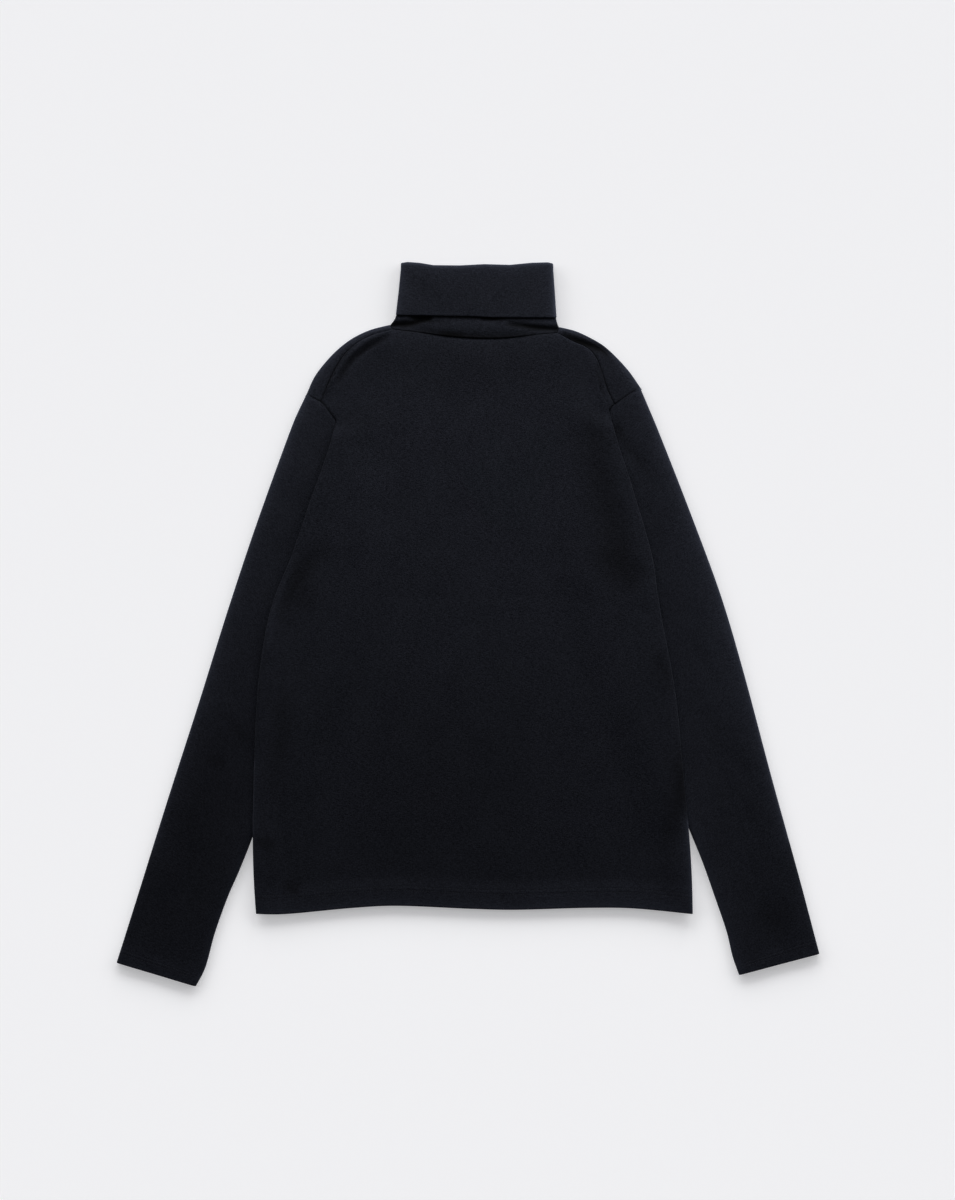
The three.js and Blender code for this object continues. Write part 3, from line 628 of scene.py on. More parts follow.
def panel(shoulders, neck, armhole_ends, is_front):
    """A body panel's points, knit places, wall and rounding, its shape and its shares across."""
    edges = {side: edge_run(side, armhole_ends[side]) for side in FOLDS}
    rows = panel_rows(run_of(edges["left"])[-1])
    top, top_share = across_top(shoulders, neck)
    grid, shares = patch(HEM_LINE, top, top_share, *edges.values(), rows, PANEL_COLUMNS)
    flat = grid.reshape(-1, 2)
    height = body_height(flat)
    profile = panel_profile(grid, shares, rows, edges)
    grooves = needle_grooves(over_hem(flat), HEM_NEEDLES)
    if is_front:
        z = lift(flat) + height / 2 * (1 + profile) + SEAM_GAP / 2 * (1 - profile)
        z += (relief(flat, FRONT_CREASES) + grooves) * profile
        z += seam_dip(flat)
    else:
        z = lift(flat) + height / 2 * (1 - profile) - SEAM_GAP / 2 * (1 - profile)
        z += relief(flat, BACK_CREASES) * profile
        z -= grooves * profile
    wall = mix(CLOTH, HEM_CLOTH, hem_share(flat))
    rounded = np.zeros(len(flat))
    rounded[: grid.shape[1]] = 1
    return np.column_stack([flat, z]), flat, wall, rounded, grid.shape[:2], shares


SEAM_DIP = 0.45
SEAM_REACH = 1.2
NECK_GROOVE = Crease(-0.6, 2.4, 2.4, 0.4, [(-40, 318), (-12, 315.4), (35, 314.2), (66, 316.6)])
SEAM_LINES = [
    thinned(FRONT_NECK_LINE),
    thinned(SEAMS["left"]),
    thinned(SEAMS["right"]),
    plan(ARMHOLES["left"][:3]),
    plan(ARMHOLES["right"][:3]),
]


def dip_at(points, lines):
    """How far cloth dips where it goes into the seams along some lines."""
    distance = np.min([nearest(points, line)[0] for line in lines], axis=0)
    return -SEAM_DIP * np.exp(-((distance / SEAM_REACH) ** 2))


def seam_dip(points):
    """How far the front dips into its seams and into the groove below its neck."""
    return relief(points, [NECK_GROOVE]) + dip_at(points, SEAM_LINES)


# The front's seam allowances: how far to each side, and where the neck's begins on a shoulder's end
FRONT_REACHES = (-1.5, 0.0, 1.5)
NECK_OVERLAP = 0.15


def front_cloth():
    cloth = Cloth()
    ends = {side: plan(ARMHOLES[side][1:3]) for side in ARMHOLES}
    points, grain, wall, rounded, shape, _ = panel(SEAMS, FRONT_NECK_LINE, ends, True)
    cloth.add(points, grain, wall, rounded, grid_faces(*shape))
    first, last = (mix(SHOULDERS[side][-1], SEAMS[side][-1], NECK_OVERLAP) for side in FOLDS)
    for seam in (np.vstack([first, FRONT_NECK_LINE, last]), *SEAMS.values()):
        add_allowance(cloth, seam, lambda line: body_height(line) / 2, FRONT_REACHES)
    return cloth


def back_cloth():
    cloth = Cloth()
    ends = {
        side: np.vstack([ARMHOLES[side][1:4], ROLL_STARTS[side][:1]]) for side in ARMHOLES
    }
    points, grain, wall, rounded, shape, shares = panel(ROLL_STARTS, BACK_NECK_LINE, ends, False)
    across = shape[1]
    cloth.add(points, grain, wall, rounded, grid_faces(*shape)[:, ::-1])
    top_row = points[-across:]
    for side, chosen in (
        ("left", shares[-1] <= SHOULDER_SHARE),
        ("right", shares[-1] >= 1 - SHOULDER_SHARE),
    ):
        share = shares[-1][chosen] if side == "left" else 1 - shares[-1][chosen]
        strip_points, strip_shape = shoulder_strip(side, share / SHOULDER_SHARE, top_row[chosen])
        faces = grid_faces(*strip_shape)[:, ::-1]
        grain = strip_points[:, :2] * (1, -1)
        wall = np.full(len(strip_points), CLOTH)
        cloth.add(strip_points, grain, wall, np.zeros(len(strip_points)), faces)
    cloth.weld()
    return cloth


# The turn of the shoulder's fold, its rows down to the seam, and the level that parts the two sides
FOLD_TURNS = np.radians([-67, -45, -22, 0, 22, 45, 67, 90])
STRIP_ROWS = 14
UPPER_SIDE = 2.4


def shoulder_strip(side, shares, first_row):
    """The back's cloth from under the shoulder's fold up over it and down to the shoulder seam."""
    fold = at(SHOULDERS[side], shares)
    inward = at(SEAMS[side], shares) - fold
    length = np.linalg.norm(inward, axis=1)[:, None]
    inward /= length
    height = body_height(fold)
    rows = [first_row]
    for turn in FOLD_TURNS:
        place = fold + inward * EDGE_RADIUS * (1 - np.cos(turn))
        rows.append(np.column_stack([place, height / 2 * (1 + np.sin(turn))]))
    for share in np.linspace(0, 1, STRIP_ROWS)[1:]:
        place = fold + inward * mix(EDGE_RADIUS, length - SEAM_GAP, share)
        rows.append(np.column_stack([place, body_height(place)]))
    points = np.vstack(rows)
    flat = points[:, :2]
    from_fold = nearest(flat, thinned(SHOULDERS[side]))[0]
    change = dip_at(flat, [thinned(SEAMS[side])])
    change += relief(flat, STRIP_CREASES) * edge_profile(from_fold)
    points[:, 2] += (points[:, 2] > UPPER_SIDE) * change
    return points, (len(rows), len(shares))


def sleeve_height(points, outer, inner, along_cuff):
    around = RIM_LOFT * rim(points, [outer, inner])
    cuff = 1 - ease((along_cuff - CUFF_DEPTH + CUFF_END) / CUFF_SLOPE)
    return mix(FLAT_HEIGHT + around, CUFF_HEIGHT + HEM_LOFT * around, cuff)


# Distances from the cuff's edge at which a sleeve has more rows, close at the needle lines
CUFF_ROWS = np.array([CUFF_CLOTH / 2, 1.6, 10.6, 11.1, 11.6, 12.2, 13.4, 14.6, 15.2, 15.8, 16.6])
SLEEVE_COLUMNS = 40
# How much of a sleeve's troughs its hidden side has
LOWER_SHARE = 0.4
# A sleeve's seam allowances: how far to each side, and how far down from the side fold's top
ARMHOLE_REACHES = (-4.0, 0.0, 4.0)
UNDERARM_REACHES = (-12.0, 0.0, 12.0)
UNDERARM_DROPS = (0, 12, 24, 36, 48)
HEAD_DROPS = (7, 14, 22, 30)


def down_fold(side, drops):
    """The places on a side fold at some distances below its top."""
    return at(FOLDS[side], [below_top(FOLDS[side], drop) for drop in drops])


def sleeve_head(side):
    """The seam of a sleeve, down the armhole and on beside the body's side fold."""
    return np.vstack([ARMHOLES[side][::-1], down_fold(side, HEAD_DROPS)])


def sleeve_grid(side):
    """A sleeve's plan points, the shares of its columns and rows, and its two edges."""
    parts = SLEEVES[side]
    seam = sleeve_head(side)
    step = np.gradient(seam, axis=0)
    step /= np.linalg.norm(step, axis=1)[:, None]
    away = np.column_stack([step[:, 1], -step[:, 0]]) * (1 if side == "left" else -1)
    head = seam + away * SEAM_GAP / 2
    top = np.vstack([head, parts.hidden, parts.inner[:1]])
    outer = smooth([head[0], *parts.outer[1:]])
    inner = smooth(parts.inner)
    length = run_of(outer)[-1]
    rows = row_shares(length, length - CUFF_ROWS)
    rows = rows[rows * length <= length - CUFF_CLOTH / 2 + 1e-6]
    cuff = np.vstack([at(outer, [1]), at(inner, [1])])
    grid, shares = patch(top, lambda s: at(cuff, s), lambda s: s, outer, inner, rows, SLEEVE_COLUMNS)
    return grid, shares, rows, outer, inner


def sleeve_sides(side, grid, edges, to_cuff):
    """Points of a sleeve's upper and lower sides."""
    flat = grid.reshape(-1, 2)
    height = sleeve_height(flat, *edges, to_cuff)
    profile = edge_profile(from_ends(grid))
    grooves = needle_grooves(to_cuff, CUFF_NEEDLES)
    upper = height / 2 * (1 + profile) + (relief(flat, SLEEVE_CREASES[side]) + grooves) * profile
    upper += dip_at(flat, [plan(ARMHOLES[side])]) * profile
    troughs = [Crease(-LOWER_SHARE * c.rise, *c[1:]) for c in SLEEVE_CREASES[side] if c.rise < 0]
    lower = height / 2 * (1 - profile) - grooves * profile
    lower += relief(flat, troughs) * profile
    return [np.column_stack([flat, z]).reshape(*grid.shape[:2], 3) for z in (upper, lower)]


def sleeve_grain(grid, shares, along):
    """Places in the knit of a sleeve's ring, round it and down it."""
    width = np.linalg.norm(grid[:, -1] - grid[:, 0], axis=1)[:, None]
    over = (shares - 0.5) * width
    around = np.concatenate([over, width - over[:, -2:0:-1]], axis=1)
    return np.stack([around, np.repeat(-along[:, None], around.shape[1], axis=1)], axis=-1)


def sleeve_cloth(side):
    grid, shares, rows, outer, inner = sleeve_grid(side)
    length = run_of(outer)[-1]
    visible = thinned(inner)[thinned(inner)[:, 1] < SIDE_FOLDS[5, 0]]
    edges = [thinned(outer), visible]
    to_cuff = (1 - rows) * length
    over, under = sleeve_sides(side, grid, edges, np.repeat(to_cuff, grid.shape[1]))
    ring = np.concatenate([over, under[:, -2:0:-1]], axis=1)
    around = ring.shape[1]
    wall = np.repeat(mix(CLOTH, CUFF_CLOTH, 1 - ease((to_cuff - CUFF_DEPTH) / CUFF_END)), around)
    rounded = np.zeros(len(wall))
    rounded[-around:] = 1
    faces = grid_faces(len(rows), around, ring=True)
    grain = sleeve_grain(grid, shares, rows * length)
    cloth = Cloth()
    cloth.add(ring.reshape(-1, 3), grain.reshape(-1, 2), wall, rounded,
              faces[:, ::-1] if side == "left" else faces)

    def level(line):
        return sleeve_height(line, *edges, CUFF_DEPTH * 2) / 2

    armhole = sleeve_head(side)[: len(ARMHOLES[side]) + 1]
    add_allowance(cloth, armhole, level, ARMHOLE_REACHES)
    add_allowance(cloth, down_fold(side, UNDERARM_DROPS), level, UNDERARM_REACHES)
    return cloth


ALLOWANCE_WALL = 0.25
ALLOWANCE_STEPS = 61


def add_allowance(cloth, seam, level, reaches):
    """The cut edge of the cloth, turned in under a seam."""
    line = at(seam, np.linspace(0, 1, ALLOWANCE_STEPS))
    along = np.gradient(line, axis=0)
    away = np.column_stack([along[:, 1], -along[:, 0]])
    away /= np.linalg.norm(away, axis=1)[:, None]
    rows = [np.column_stack([line + away * reach, level(line)]) for reach in reaches]
    points = np.vstack(rows)
    faces = grid_faces(len(rows), len(line))
    a, b, c = points[faces[0][:3]]
    if np.cross(b - a, c - b)[2] < 0:
        faces = faces[:, ::-1]
    cloth.add(points, points[:, :2], np.full(len(points), ALLOWANCE_WALL),
              np.zeros(len(points)), faces)


NECK_SHIFTS = {"left": (0.2, 0.2), "middle": (0, 0.2), "right": (-0.2, 0.2)}
# The collar's columns, its rings by share of the rise, by degrees turned over and by share of the
# way down, and the cloth that each part takes up
COLLAR_SHARES = np.linspace(0, 1, 132)
STAND_RISES = np.concatenate([np.linspace(0, 0.34, 26), np.linspace(0.37, 0.93, 18)])
TURN_DEGREES = np.array([22, 45, 67, 90, 112, 135, 157])
TURNED_DROPS = np.linspace(0.04, 1, 30)
STAND_CLOTH = 72
TURN_CLOTH = 3
TURNED_CLOTH = 56
END_TURNS = np.radians([68, 45, 22, 0, -22, -45, -68])
# The share of the rise at which the collar is free of its seam's height, and has its full bulges
SEAM_SHARE = 0.08
BULGE_SHARE = 0.05
# The ring whose length round it the knit follows
KNIT_RING = 30


def off_seam(line):
    """Points along a neck seam, moved off it by the seam's gap."""
    share = COLLAR_SHARES
    nearness = np.exp(-((np.minimum(share, 1 - share) * 60) ** 2))[:, None]
    end = np.where((share < 0.5)[:, None], NECK_SHIFTS["left"], NECK_SHIFTS["right"])
    return at(line, share) + mix(plan(NECK_SHIFTS["middle"]), end, nearness)


def across_line(table, x):
    line = plan(table)
    return np.interp(x, line[:, 0], line[:, 1])


def collar_row(ends, front, back, turned_out, front_run, back_run):
    """One ring of the collar: the front, the right end, the back and the left end."""
    roots = [(front_run[k] + back_run[k]) / 2 for k in (0, -1)]
    outermost = []
    for k, side, end, sign in ((0, "left", ends[0], 1), (1, "right", ends[1], -1)):
        fold = SHOULDERS[side][-1]
        inward = SEAMS[side][-1] - fold
        near = fold + inward / np.linalg.norm(inward) * COLLAR_REACH + NECK_SHIFTS[side]
        far = np.array([end + sign * COLLAR_REACH, roots[k][1]])
        outermost.append(mix(near, far, turned_out))
    middle = (front + back) / 2
    half = (front - back) / 2

    def end_points(k, order):
        return [[*mix(roots[k], outermost[k], np.cos(t)), middle[k] + half[k] * np.sin(t)]
                for t in order]

    return np.vstack([
        np.column_stack([front_run, np.linspace(*front, len(front_run))]),
        end_points(1, END_TURNS),
        np.column_stack([back_run, np.linspace(*back, len(back_run))])[::-1],
        end_points(0, END_TURNS[::-1]),
    ])


def collar_top(x):
    return across_line(COLLAR_TOP, x) - COLLAR_REACH - COLLAR_FOLD


def spread(seam, ends, turned_out, level):
    """A run across the collar: at its seam's places, or evenly between its ends once turned out."""
    x = mix(ends[0] + COLLAR_END_INSET, ends[1] - COLLAR_END_INSET, COLLAR_SHARES)
    x = mix(seam[:, 0], x, turned_out)
    return np.column_stack([x, level(x)])


def row_of(table, place):
    """The values of a table's columns at a place between its rows."""
    return [np.interp(place, table[:, 0], column) for column in table.T[1:]]


SAG = 0.7
SAG_REACH = 5.0
SAG_BELOW = 1.0


def stand_sag(points):
    """The stand lies lower just under the free edge of the part turned over it."""
    below = points[:, 1] - across_line(COLLAR_EDGE, points[:, 0]) + SAG_BELOW
    return -SAG * np.exp(-((below / SAG_REACH) ** 2))


STAND_LINE = smooth(STAND, 12)


def stand_ring(rise, front_seam, back_seam):
    """A ring of the part that stands up from the neck seam."""
    left, right, front, back, out = row_of(STAND_LINE, rise)
    seam_height = body_height(FRONT_NECK_LINE[[0, -1]]) - SEAM_DIP - CLOTH / 2
    front_ends = mix(np.full(2, front), seam_height, 1 - ease(rise / SEAM_SHARE))
    runs = [
        spread(seam, (left, right), out, lambda x: mix(seam[:, 1], collar_top(x), rise))
        for seam in (front_seam, back_seam)
    ]
    ring = collar_row((left, right), front_ends, np.full(2, back), out, *runs)
    face = ring[: len(COLLAR_SHARES)]
    face[:, 2] += relief(face[:, :2], STRIP_BULGES) * ease(rise / BULGE_SHARE)
    face[:, 2] += stand_sag(face[:, :2])
    return ring


def folded_ring(seam, left, right, front, back, level):
    """A ring of the part past the top fold, where its ends are fully turned out."""
    line = spread(seam, (left, right), 1, level)
    return collar_row((left, right), np.full(2, front), np.full(2, back), 1, line, line)


def turning_ring(degrees, seam):
    """A ring of the top fold."""
    turn = np.radians(degrees)
    over = (1 - np.cos(turn)) / 2
    row = mix(STAND_LINE[-1, 1:5], TURNED[0, 1:5], over)
    return folded_ring(seam, *row, lambda x: collar_top(x) + COLLAR_FOLD * np.sin(turn))


def turned_ring(drop, seam):
    """A ring of the part turned down."""

    def level(x):
        return mix(collar_top(x), across_line(COLLAR_EDGE, x) + COLLAR_REACH, drop)

    ring = folded_ring(seam, *row_of(TURNED, drop), level)
    face = ring[: len(COLLAR_SHARES)]
    face[:, 2] += relief(face[:, :2], TURNED_CREASES)
    return ring


def collar_cloth():
    seam = off_seam(FRONT_NECK_LINE)
    back_seam = off_seam(BACK_NECK_LINE)
    points = np.array([
        *(stand_ring(rise, seam, back_seam) for rise in STAND_RISES),
        *(turning_ring(degrees, seam) for degrees in TURN_DEGREES),
        *(turned_ring(drop, seam) for drop in TURNED_DROPS),
    ])
    heights = np.concatenate([
        STAND_RISES * STAND_CLOTH,
        STAND_CLOTH + TURN_CLOTH * TURN_DEGREES / 180,
        STAND_CLOTH + TURN_CLOTH + TURNED_DROPS * TURNED_CLOTH,
    ])
    grain = np.stack(np.meshgrid(run_of(points[KNIT_RING]), heights), axis=-1)
    rounded = np.zeros(points.shape[:2])
    rounded[-1] = 1
    cloth = Cloth()
    cloth.add(points.reshape(-1, 3), grain.reshape(-1, 2), np.full(rounded.size, COLLAR_CLOTH),
              rounded.reshape(-1), grid_faces(*points.shape[:2], ring=True))
    return cloth


# A painted highlight along an edge or fold, standing in for the light its rounded cloth catches: how
# much paler it is close by and further in
Edge = namedtuple("Edge", "near wide line")
NEAR_REACH = 1.6
WIDE_REACH = 9.0
# How much of each side fold, from the hem up, lies against the floor and not over a sleeve
SIDE_SHARE = np.linspace(0, 0.3, 20)
# The painted edge highlights of a piece, its lines of painted shade and painted light, and the height
# above which it has none of these lines
PaintedTone = namedtuple("PaintedTone", "edges hollows below")

# Painted highlights along the hem, along the side folds (stronger on the right) and along the shoulders
BODY_EDGE_HIGHLIGHTS = [
    Edge(0.2, 0.85, thinned(HEM_LINE)),
    Edge(0.8, 0.25, at(FOLDS["left"], SIDE_SHARE)),
    Edge(1.8, 0.85, at(FOLDS["right"], SIDE_SHARE * 0.6)),
    *(Edge(2.2, 0.5, thinned(SHOULDERS[side])) for side in FOLDS),
]
# How much painted highlight each sleeve's underarm edge has, close by and further in
UNDERARM = {"left": (1.1, 0.6), "right": (1.7, 1.2)}
# Painted highlights along each sleeve's outer edge, underarm edge and cuff
SLEEVE_EDGE_HIGHLIGHTS = {
    side: [
        Edge(2.2, 0.75, at(smooth(parts.outer), 0.8 * THIN)),
        Edge(0.9, 0.1, thinned(smooth(parts.outer))),
        Edge(*UNDERARM[side], thinned(smooth(parts.inner))),
        Edge(0.3, 0.4, plan([parts.outer[-1], parts.inner[-1]])),
    ]
    for side, parts in SLEEVES.items()
}
# Painted highlights along the collar's top fold and ends, and faintly along its free edge
COLLAR_EDGE_HIGHLIGHTS = [
    Edge(2.6, 0.7, plan(COLLAR_TOP)),
    Edge(2.4, 0.85, plan([COLLAR_EDGE[0], COLLAR_TOP[0]])),
    Edge(2.4, 0.85, plan([COLLAR_EDGE[-1], COLLAR_TOP[-1]])),
    Edge(0.2, 0.1, plan(COLLAR_EDGE)),
]
# Runs of the neck and shoulder seams, along which painted shade darkens the cloth
NECK_RUN = [SHOULDER_SEAMS["left"][-1], *FRONT_NECK, SHOULDER_SEAMS["right"][-1]]
LEFT_SEAM_RUN = [(-162, 244), (-152, 268), (-144.5, 283), (-135, 297.5), (-122, 309)]
RIGHT_SEAM_RUN = [(136.4, 301.4), (140.8, 294.8), (144.1, 284.9), (147.4, 273.9), (151.8, 262.9),
                  (156.2, 251.9), (160.5, 242)]
# Painted shade along the armhole seams
ARMHOLE_PAINTED_SHADE = [Crease(-0.4, 1.5, 1.5, 0.15, ARMHOLES[side]) for side in ARMHOLES]
# Painted shade in the front's creases, seams and dents, broadly over its lower middle and under the
# neck; painted light along the left side ridge and over the hem
FRONT_PAINTED_SHADE_AND_LIGHT = [
    Crease(-0.38, 16, 24, 0.5, RIGHT_TROUGH),
    Crease(-0.25, 20, 20, 1, [(130, 90), (156, 70), (194, 36)]),
    Crease(-0.42, 12, 13, 0.7, LEFT_DENT),
    Crease(-0.2, 14, 14, 1, [(-172, 50), (-176, 30), (-184, 8)]),
    Crease(-0.28, 11, 13, 0.7, [(-201.3, -62), (-205, -127.6), (-215.6, -186)]),
    Crease(-0.5, 8, 8, 1, [(-206, -287), (-193.6, -291), (-181, -292.6)]),
    Crease(-0.45, 6, 7, 1, [(-239, -234), (-224.4, -239.8), (-207, -243.5)]),
    Crease(-0.5, 13, 13, 0.7, [(240, -125), (237, -165), (231, -205), (221, -244)]),
    Crease(-0.28, 8, 9, 1, [(207, -22), (215.6, -50.6), (223, -80)]),
    Crease(-0.17, 130, 130, 0.5, [(-25, -50), (-25, -180), (-25, -300)]),
    Crease(-0.45, 1.3, 1.3, 0.15, NECK_RUN),
    Crease(-0.12, 30, 30, 0.6, [(-80, 285), (0, 285), (80, 285)]),
    Crease(0.35, 4, 5, 0.6, LEFT_SIDE_RIDGE),
    Crease(-0.16, 14, 14, 1, [(-141, 226), (-120, 226), (-97, 231)]),
    Crease(0.2, 12, 12, 0.4, [(60, -302), (150, -301), (245, -304)]),
    Crease(0.15, 12, 12, 0.4, [(-236, -304), (-215, -305), (-190, -305)]),
    Crease(-0.55, 3.4, 3.4, 0.5, LEFT_SHOULDER_TROUGH),
    Crease(-0.55, 2.1, 2.1, 0.3, LEFT_SEAM_RUN),
    Crease(-0.35, 1.6, 1.6, 0.2, RIGHT_SEAM_RUN),
    *ARMHOLE_PAINTED_SHADE,
    Crease(-0.35, 2, 2, 0.4, [(139.7, 286), (141.9, 276.1), (146.3, 262.9), (150.7, 246.4)]),
]
# Painted shade in the gap at the right shoulder, along the shoulder seams and along the armholes
BACK_PAINTED_SHADE = [
    Crease(-0.95, 6, 5, 0.35, RIGHT_SHOULDER_GAP),
    Crease(-0.25, 9, 9, 1, [(150, 297), (160, 288), (168, 279)]),
    Crease(-0.55, 2.1, 2.1, 0.3, LEFT_SEAM_RUN),
    Crease(-0.35, 1.6, 1.6, 0.2, RIGHT_SEAM_RUN),
    *ARMHOLE_PAINTED_SHADE,
]
# Painted shade in the sleeves' creases and along the armholes; painted light over the right sleeve's
# outer half
SLEEVE_PAINTED_SHADE_AND_LIGHT = {
    "left": [
        Crease(-0.24, 70, 70, 0.5, [(-255, -90), (-290, -220), (-325, -370)]),
        Crease(-0.25, 6, 7, 1, [(-268, -114), (-252, -120), (-236, -128)]),
        Crease(-0.25, 7, 7, 1, [(-290, -146), (-278, -150), (-264, -156)]),
        *ARMHOLE_PAINTED_SHADE,
    ],
    "right": [
        Crease(-0.3, 16, 16, 1, [(310, -318), (335, -325), (362, -332)]),
        Crease(-0.3, 6, 7, 0.6, RIGHT_SLEEVE_TROUGH),
        Crease(0.2, 26, 26, 0.5, [(226, 120), (256, 20), (280, -60), (304, -150)]),
        Crease(-0.25, 8, 9, 1, [(158, 226), (163, 216), (170, 206)]),
        *ARMHOLE_PAINTED_SHADE,
    ],
}
# Painted shade under the collar's puckers, under its turned-down free edge and along the neck seam
COLLAR_PAINTED_SHADE = [
    Crease(-0.95, 4, 3.8, 0.2, LEFT_PUCKER),
    Crease(-0.9, 3.4, 3.8, 0.3, RIGHT_PUCKER),
    Crease(-0.4, 1.8, 1.8, 0.5, [(-44, 331.5), (-32, 331.8), (-20, 331.5)]),
    Crease(-0.5, 1.4, 1.4, 0.15, NECK_RUN),
    Crease(-0.6, 1.8, 2.2, 0.2, [(-84, 338.6), (-40, 337.4), (13, 337), (34, 336.4), (99, 336.6)]),
    Crease(-0.6, 2, 3, 0.7, [(-64, 337.4), (-52, 336.4), (-38, 337)]),
    Crease(-0.6, 2, 2.6, 0.7, [(12, 336.8), (26, 335.4), (40, 335.4)]),
    Crease(-0.5, 3, 2, 0.6, [(-80, 323.6), (-40, 321), (-12, 317.6), (35, 316.2), (79, 320)]),
    Crease(-0.4, 4, 3, 0.8, [(-34, 320.6), (-16, 319), (0, 318.6)]),
]
PAINTED_TONES = {
    "back": PaintedTone(BODY_EDGE_HIGHLIGHTS, BACK_PAINTED_SHADE, np.inf),
    "front": PaintedTone(BODY_EDGE_HIGHLIGHTS, FRONT_PAINTED_SHADE_AND_LIGHT, np.inf),
    "sleeve_left": PaintedTone(SLEEVE_EDGE_HIGHLIGHTS["left"], SLEEVE_PAINTED_SHADE_AND_LIGHT["left"], np.inf),
    "sleeve_right": PaintedTone(SLEEVE_EDGE_HIGHLIGHTS["right"], SLEEVE_PAINTED_SHADE_AND_LIGHT["right"], np.inf),
    "collar": PaintedTone(COLLAR_EDGE_HIGHLIGHTS, COLLAR_PAINTED_SHADE, 6.4),
}
# The darkest that painted shade may make the cloth
DARKEST = -0.9


def painted_light_and_shade(points, tone):
    """Painted light and shade: how much paler the cloth is painted at its edges, and how much darker or
    paler along its painted lines.
    """
    flat = points[:, :2]
    paler = np.zeros(len(flat))
    for edge in tone.edges:
        away = nearest(flat, edge.line)[0]
        lit = edge.near * np.exp(-away / NEAR_REACH) + edge.wide * np.exp(-away / WIDE_REACH)
        paler = np.maximum(paler, lit)
    darker = relief(flat, tone.hollows) * (points[:, 2] < tone.below)
    return np.maximum(paler + darker * (1 + paler), DARKEST)


def dress(name, cloth, material, up=0.0):
    points, faces, grain = cloth.thickened(up)
    # The grain's third value carries the painted light and shade
    grain = np.column_stack([grain, painted_light_and_shade(points, PAINTED_TONES[name])])
    made = mesh_object(name + "_cloth", points, faces, grain)
    made.data.materials.append(material)
    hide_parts(name)
    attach(made, "root")
    return made


# A stitch's length, the step from one to the next, the thread's thickness, and how many of these
# its middle rises and its ends are sunk
STITCH = 2.5
STITCH_STEP = 3.0
THREAD = 0.36
STITCH_ARCH = 0.75
STITCH_SINK = 0.35
STITCH_RINGS = np.linspace(0, 1, 7)
THREAD_SIDES = np.linspace(0, 2 * np.pi, 6, endpoint=False)


def stitched(run, up):
    """Points and faces of the arched stitches along a run of surface points."""
    total = run_of(run)[-1]
    starts = np.arange(STITCH_STEP / 2, total - STITCH, STITCH_STEP)
    middle = at(run, (starts[:, None] + STITCH * STITCH_RINGS) / total)
    middle[..., 2] += up * THREAD * (STITCH_ARCH * np.sin(np.pi * STITCH_RINGS) - STITCH_SINK)
    along = middle[:, -1] - middle[:, 0]
    along /= np.linalg.norm(along, axis=1)[:, None]
    upward = np.array([0, 0, up], float)
    across = np.cross(along, upward)[:, None, None]
    thick = THREAD / 2 * (0.5 + 0.5 * np.sin(np.pi * STITCH_RINGS) ** 0.5)[None, :, None, None]
    turn = THREAD_SIDES[None, None, :, None]
    ring = middle[:, :, None] + thick * (across * np.cos(turn) + upward * np.sin(turn))
    sides = len(THREAD_SIDES)
    each = len(STITCH_RINGS) * sides
    around = grid_faces(len(STITCH_RINGS), sides, ring=True).tolist()
    ends = [list(range(sides))[::-1], list(range(each - sides, each))]
    faces = [[k + each * n for k in face] for n in range(len(starts)) for face in around + ends]
    return ring.reshape(-1, 3), faces


def add_stitches(name, runs, material):
    points = []
    faces = []
    for run, up in runs:
        more, shapes = stitched(run, up)
        count = sum(map(len, points))
        points.append(more)
        faces += [[k + count for k in face] for face in shapes]
    made = mesh_object(name, np.vstack(points), faces)
    made.data.materials.append(material)
    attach(made, "root")
    return made


# How far the rows of stitches end from the folds, and how many places they are worked out at
STITCH_INSET = 2.4
HEM_PLACES = 300
CUFF_PLACES = 60


def hem_runs(is_front):
    for needle in HEM_NEEDLES:
        x = np.linspace(HEM[0][0], HEM[-1][0], HEM_PLACES)
        y = np.interp(x, HEM_LINE[:, 0], HEM_LINE[:, 1]) + needle
        left, right = (np.interp(y, FOLDS[side][:, 1], FOLDS[side][:, 0]) for side in FOLDS)
        inside = (x > left + STITCH_INSET) & (x < right - STITCH_INSET)
        flat = np.column_stack([x, y])[inside]
        groove = needle_grooves(needle, HEM_NEEDLES)
        if is_front:
            z = lift(flat) + body_height(flat) + relief(flat, FRONT_CREASES) + groove
        else:
            z = lift(flat) + relief(flat, BACK_CREASES) - groove
        yield np.column_stack([flat, z]), 1 if is_front else -1


def cuff_runs(side):
    parts = SLEEVES[side]
    outer = smooth(parts.outer)
    inner = smooth(parts.inner)
    edges = [thinned(outer), thinned(inner)]
    for needle in CUFF_NEEDLES:
        share = 1 - needle / run_of(outer)[-1]
        start = at(outer, [share])
        end = at(inner, [share])
        inset = STITCH_INSET / np.linalg.norm(end - start)
        flat = mix(start, end, np.linspace(inset, 1 - inset, CUFF_PLACES)[:, None])
        groove = needle_grooves(needle, CUFF_NEEDLES)
        height = sleeve_height(flat, *edges, needle)
        top = height + relief(flat, SLEEVE_CREASES[side]) + groove
        yield np.column_stack([flat, top]), 1
        yield np.column_stack([flat, np.full(len(flat), -groove)]), -1


# Knit: width of a wale, height of a course, slant of a stitch's leg, and how high leg and loop stand
WALE = 0.85
COURSE = 0.62
SLANT = 1.3
LEG_HEIGHT = 0.6
LOOP_HEIGHT = 0.25
# Turns the noise's own grid out of the flat cloth, so that it is equally strong all over
NOISE_TILT = (0.7, 0.5, 0.3)
# Scale and detail of the fuzz, of the slubs along the yarn and of soft clouds
FUZZ = (760.0, 5.0)
SLUB = (1.0, 3.0)
CLOUD = (26.0, 3.0)
SLUB_STRETCH = (0.22, 1.3, 1)
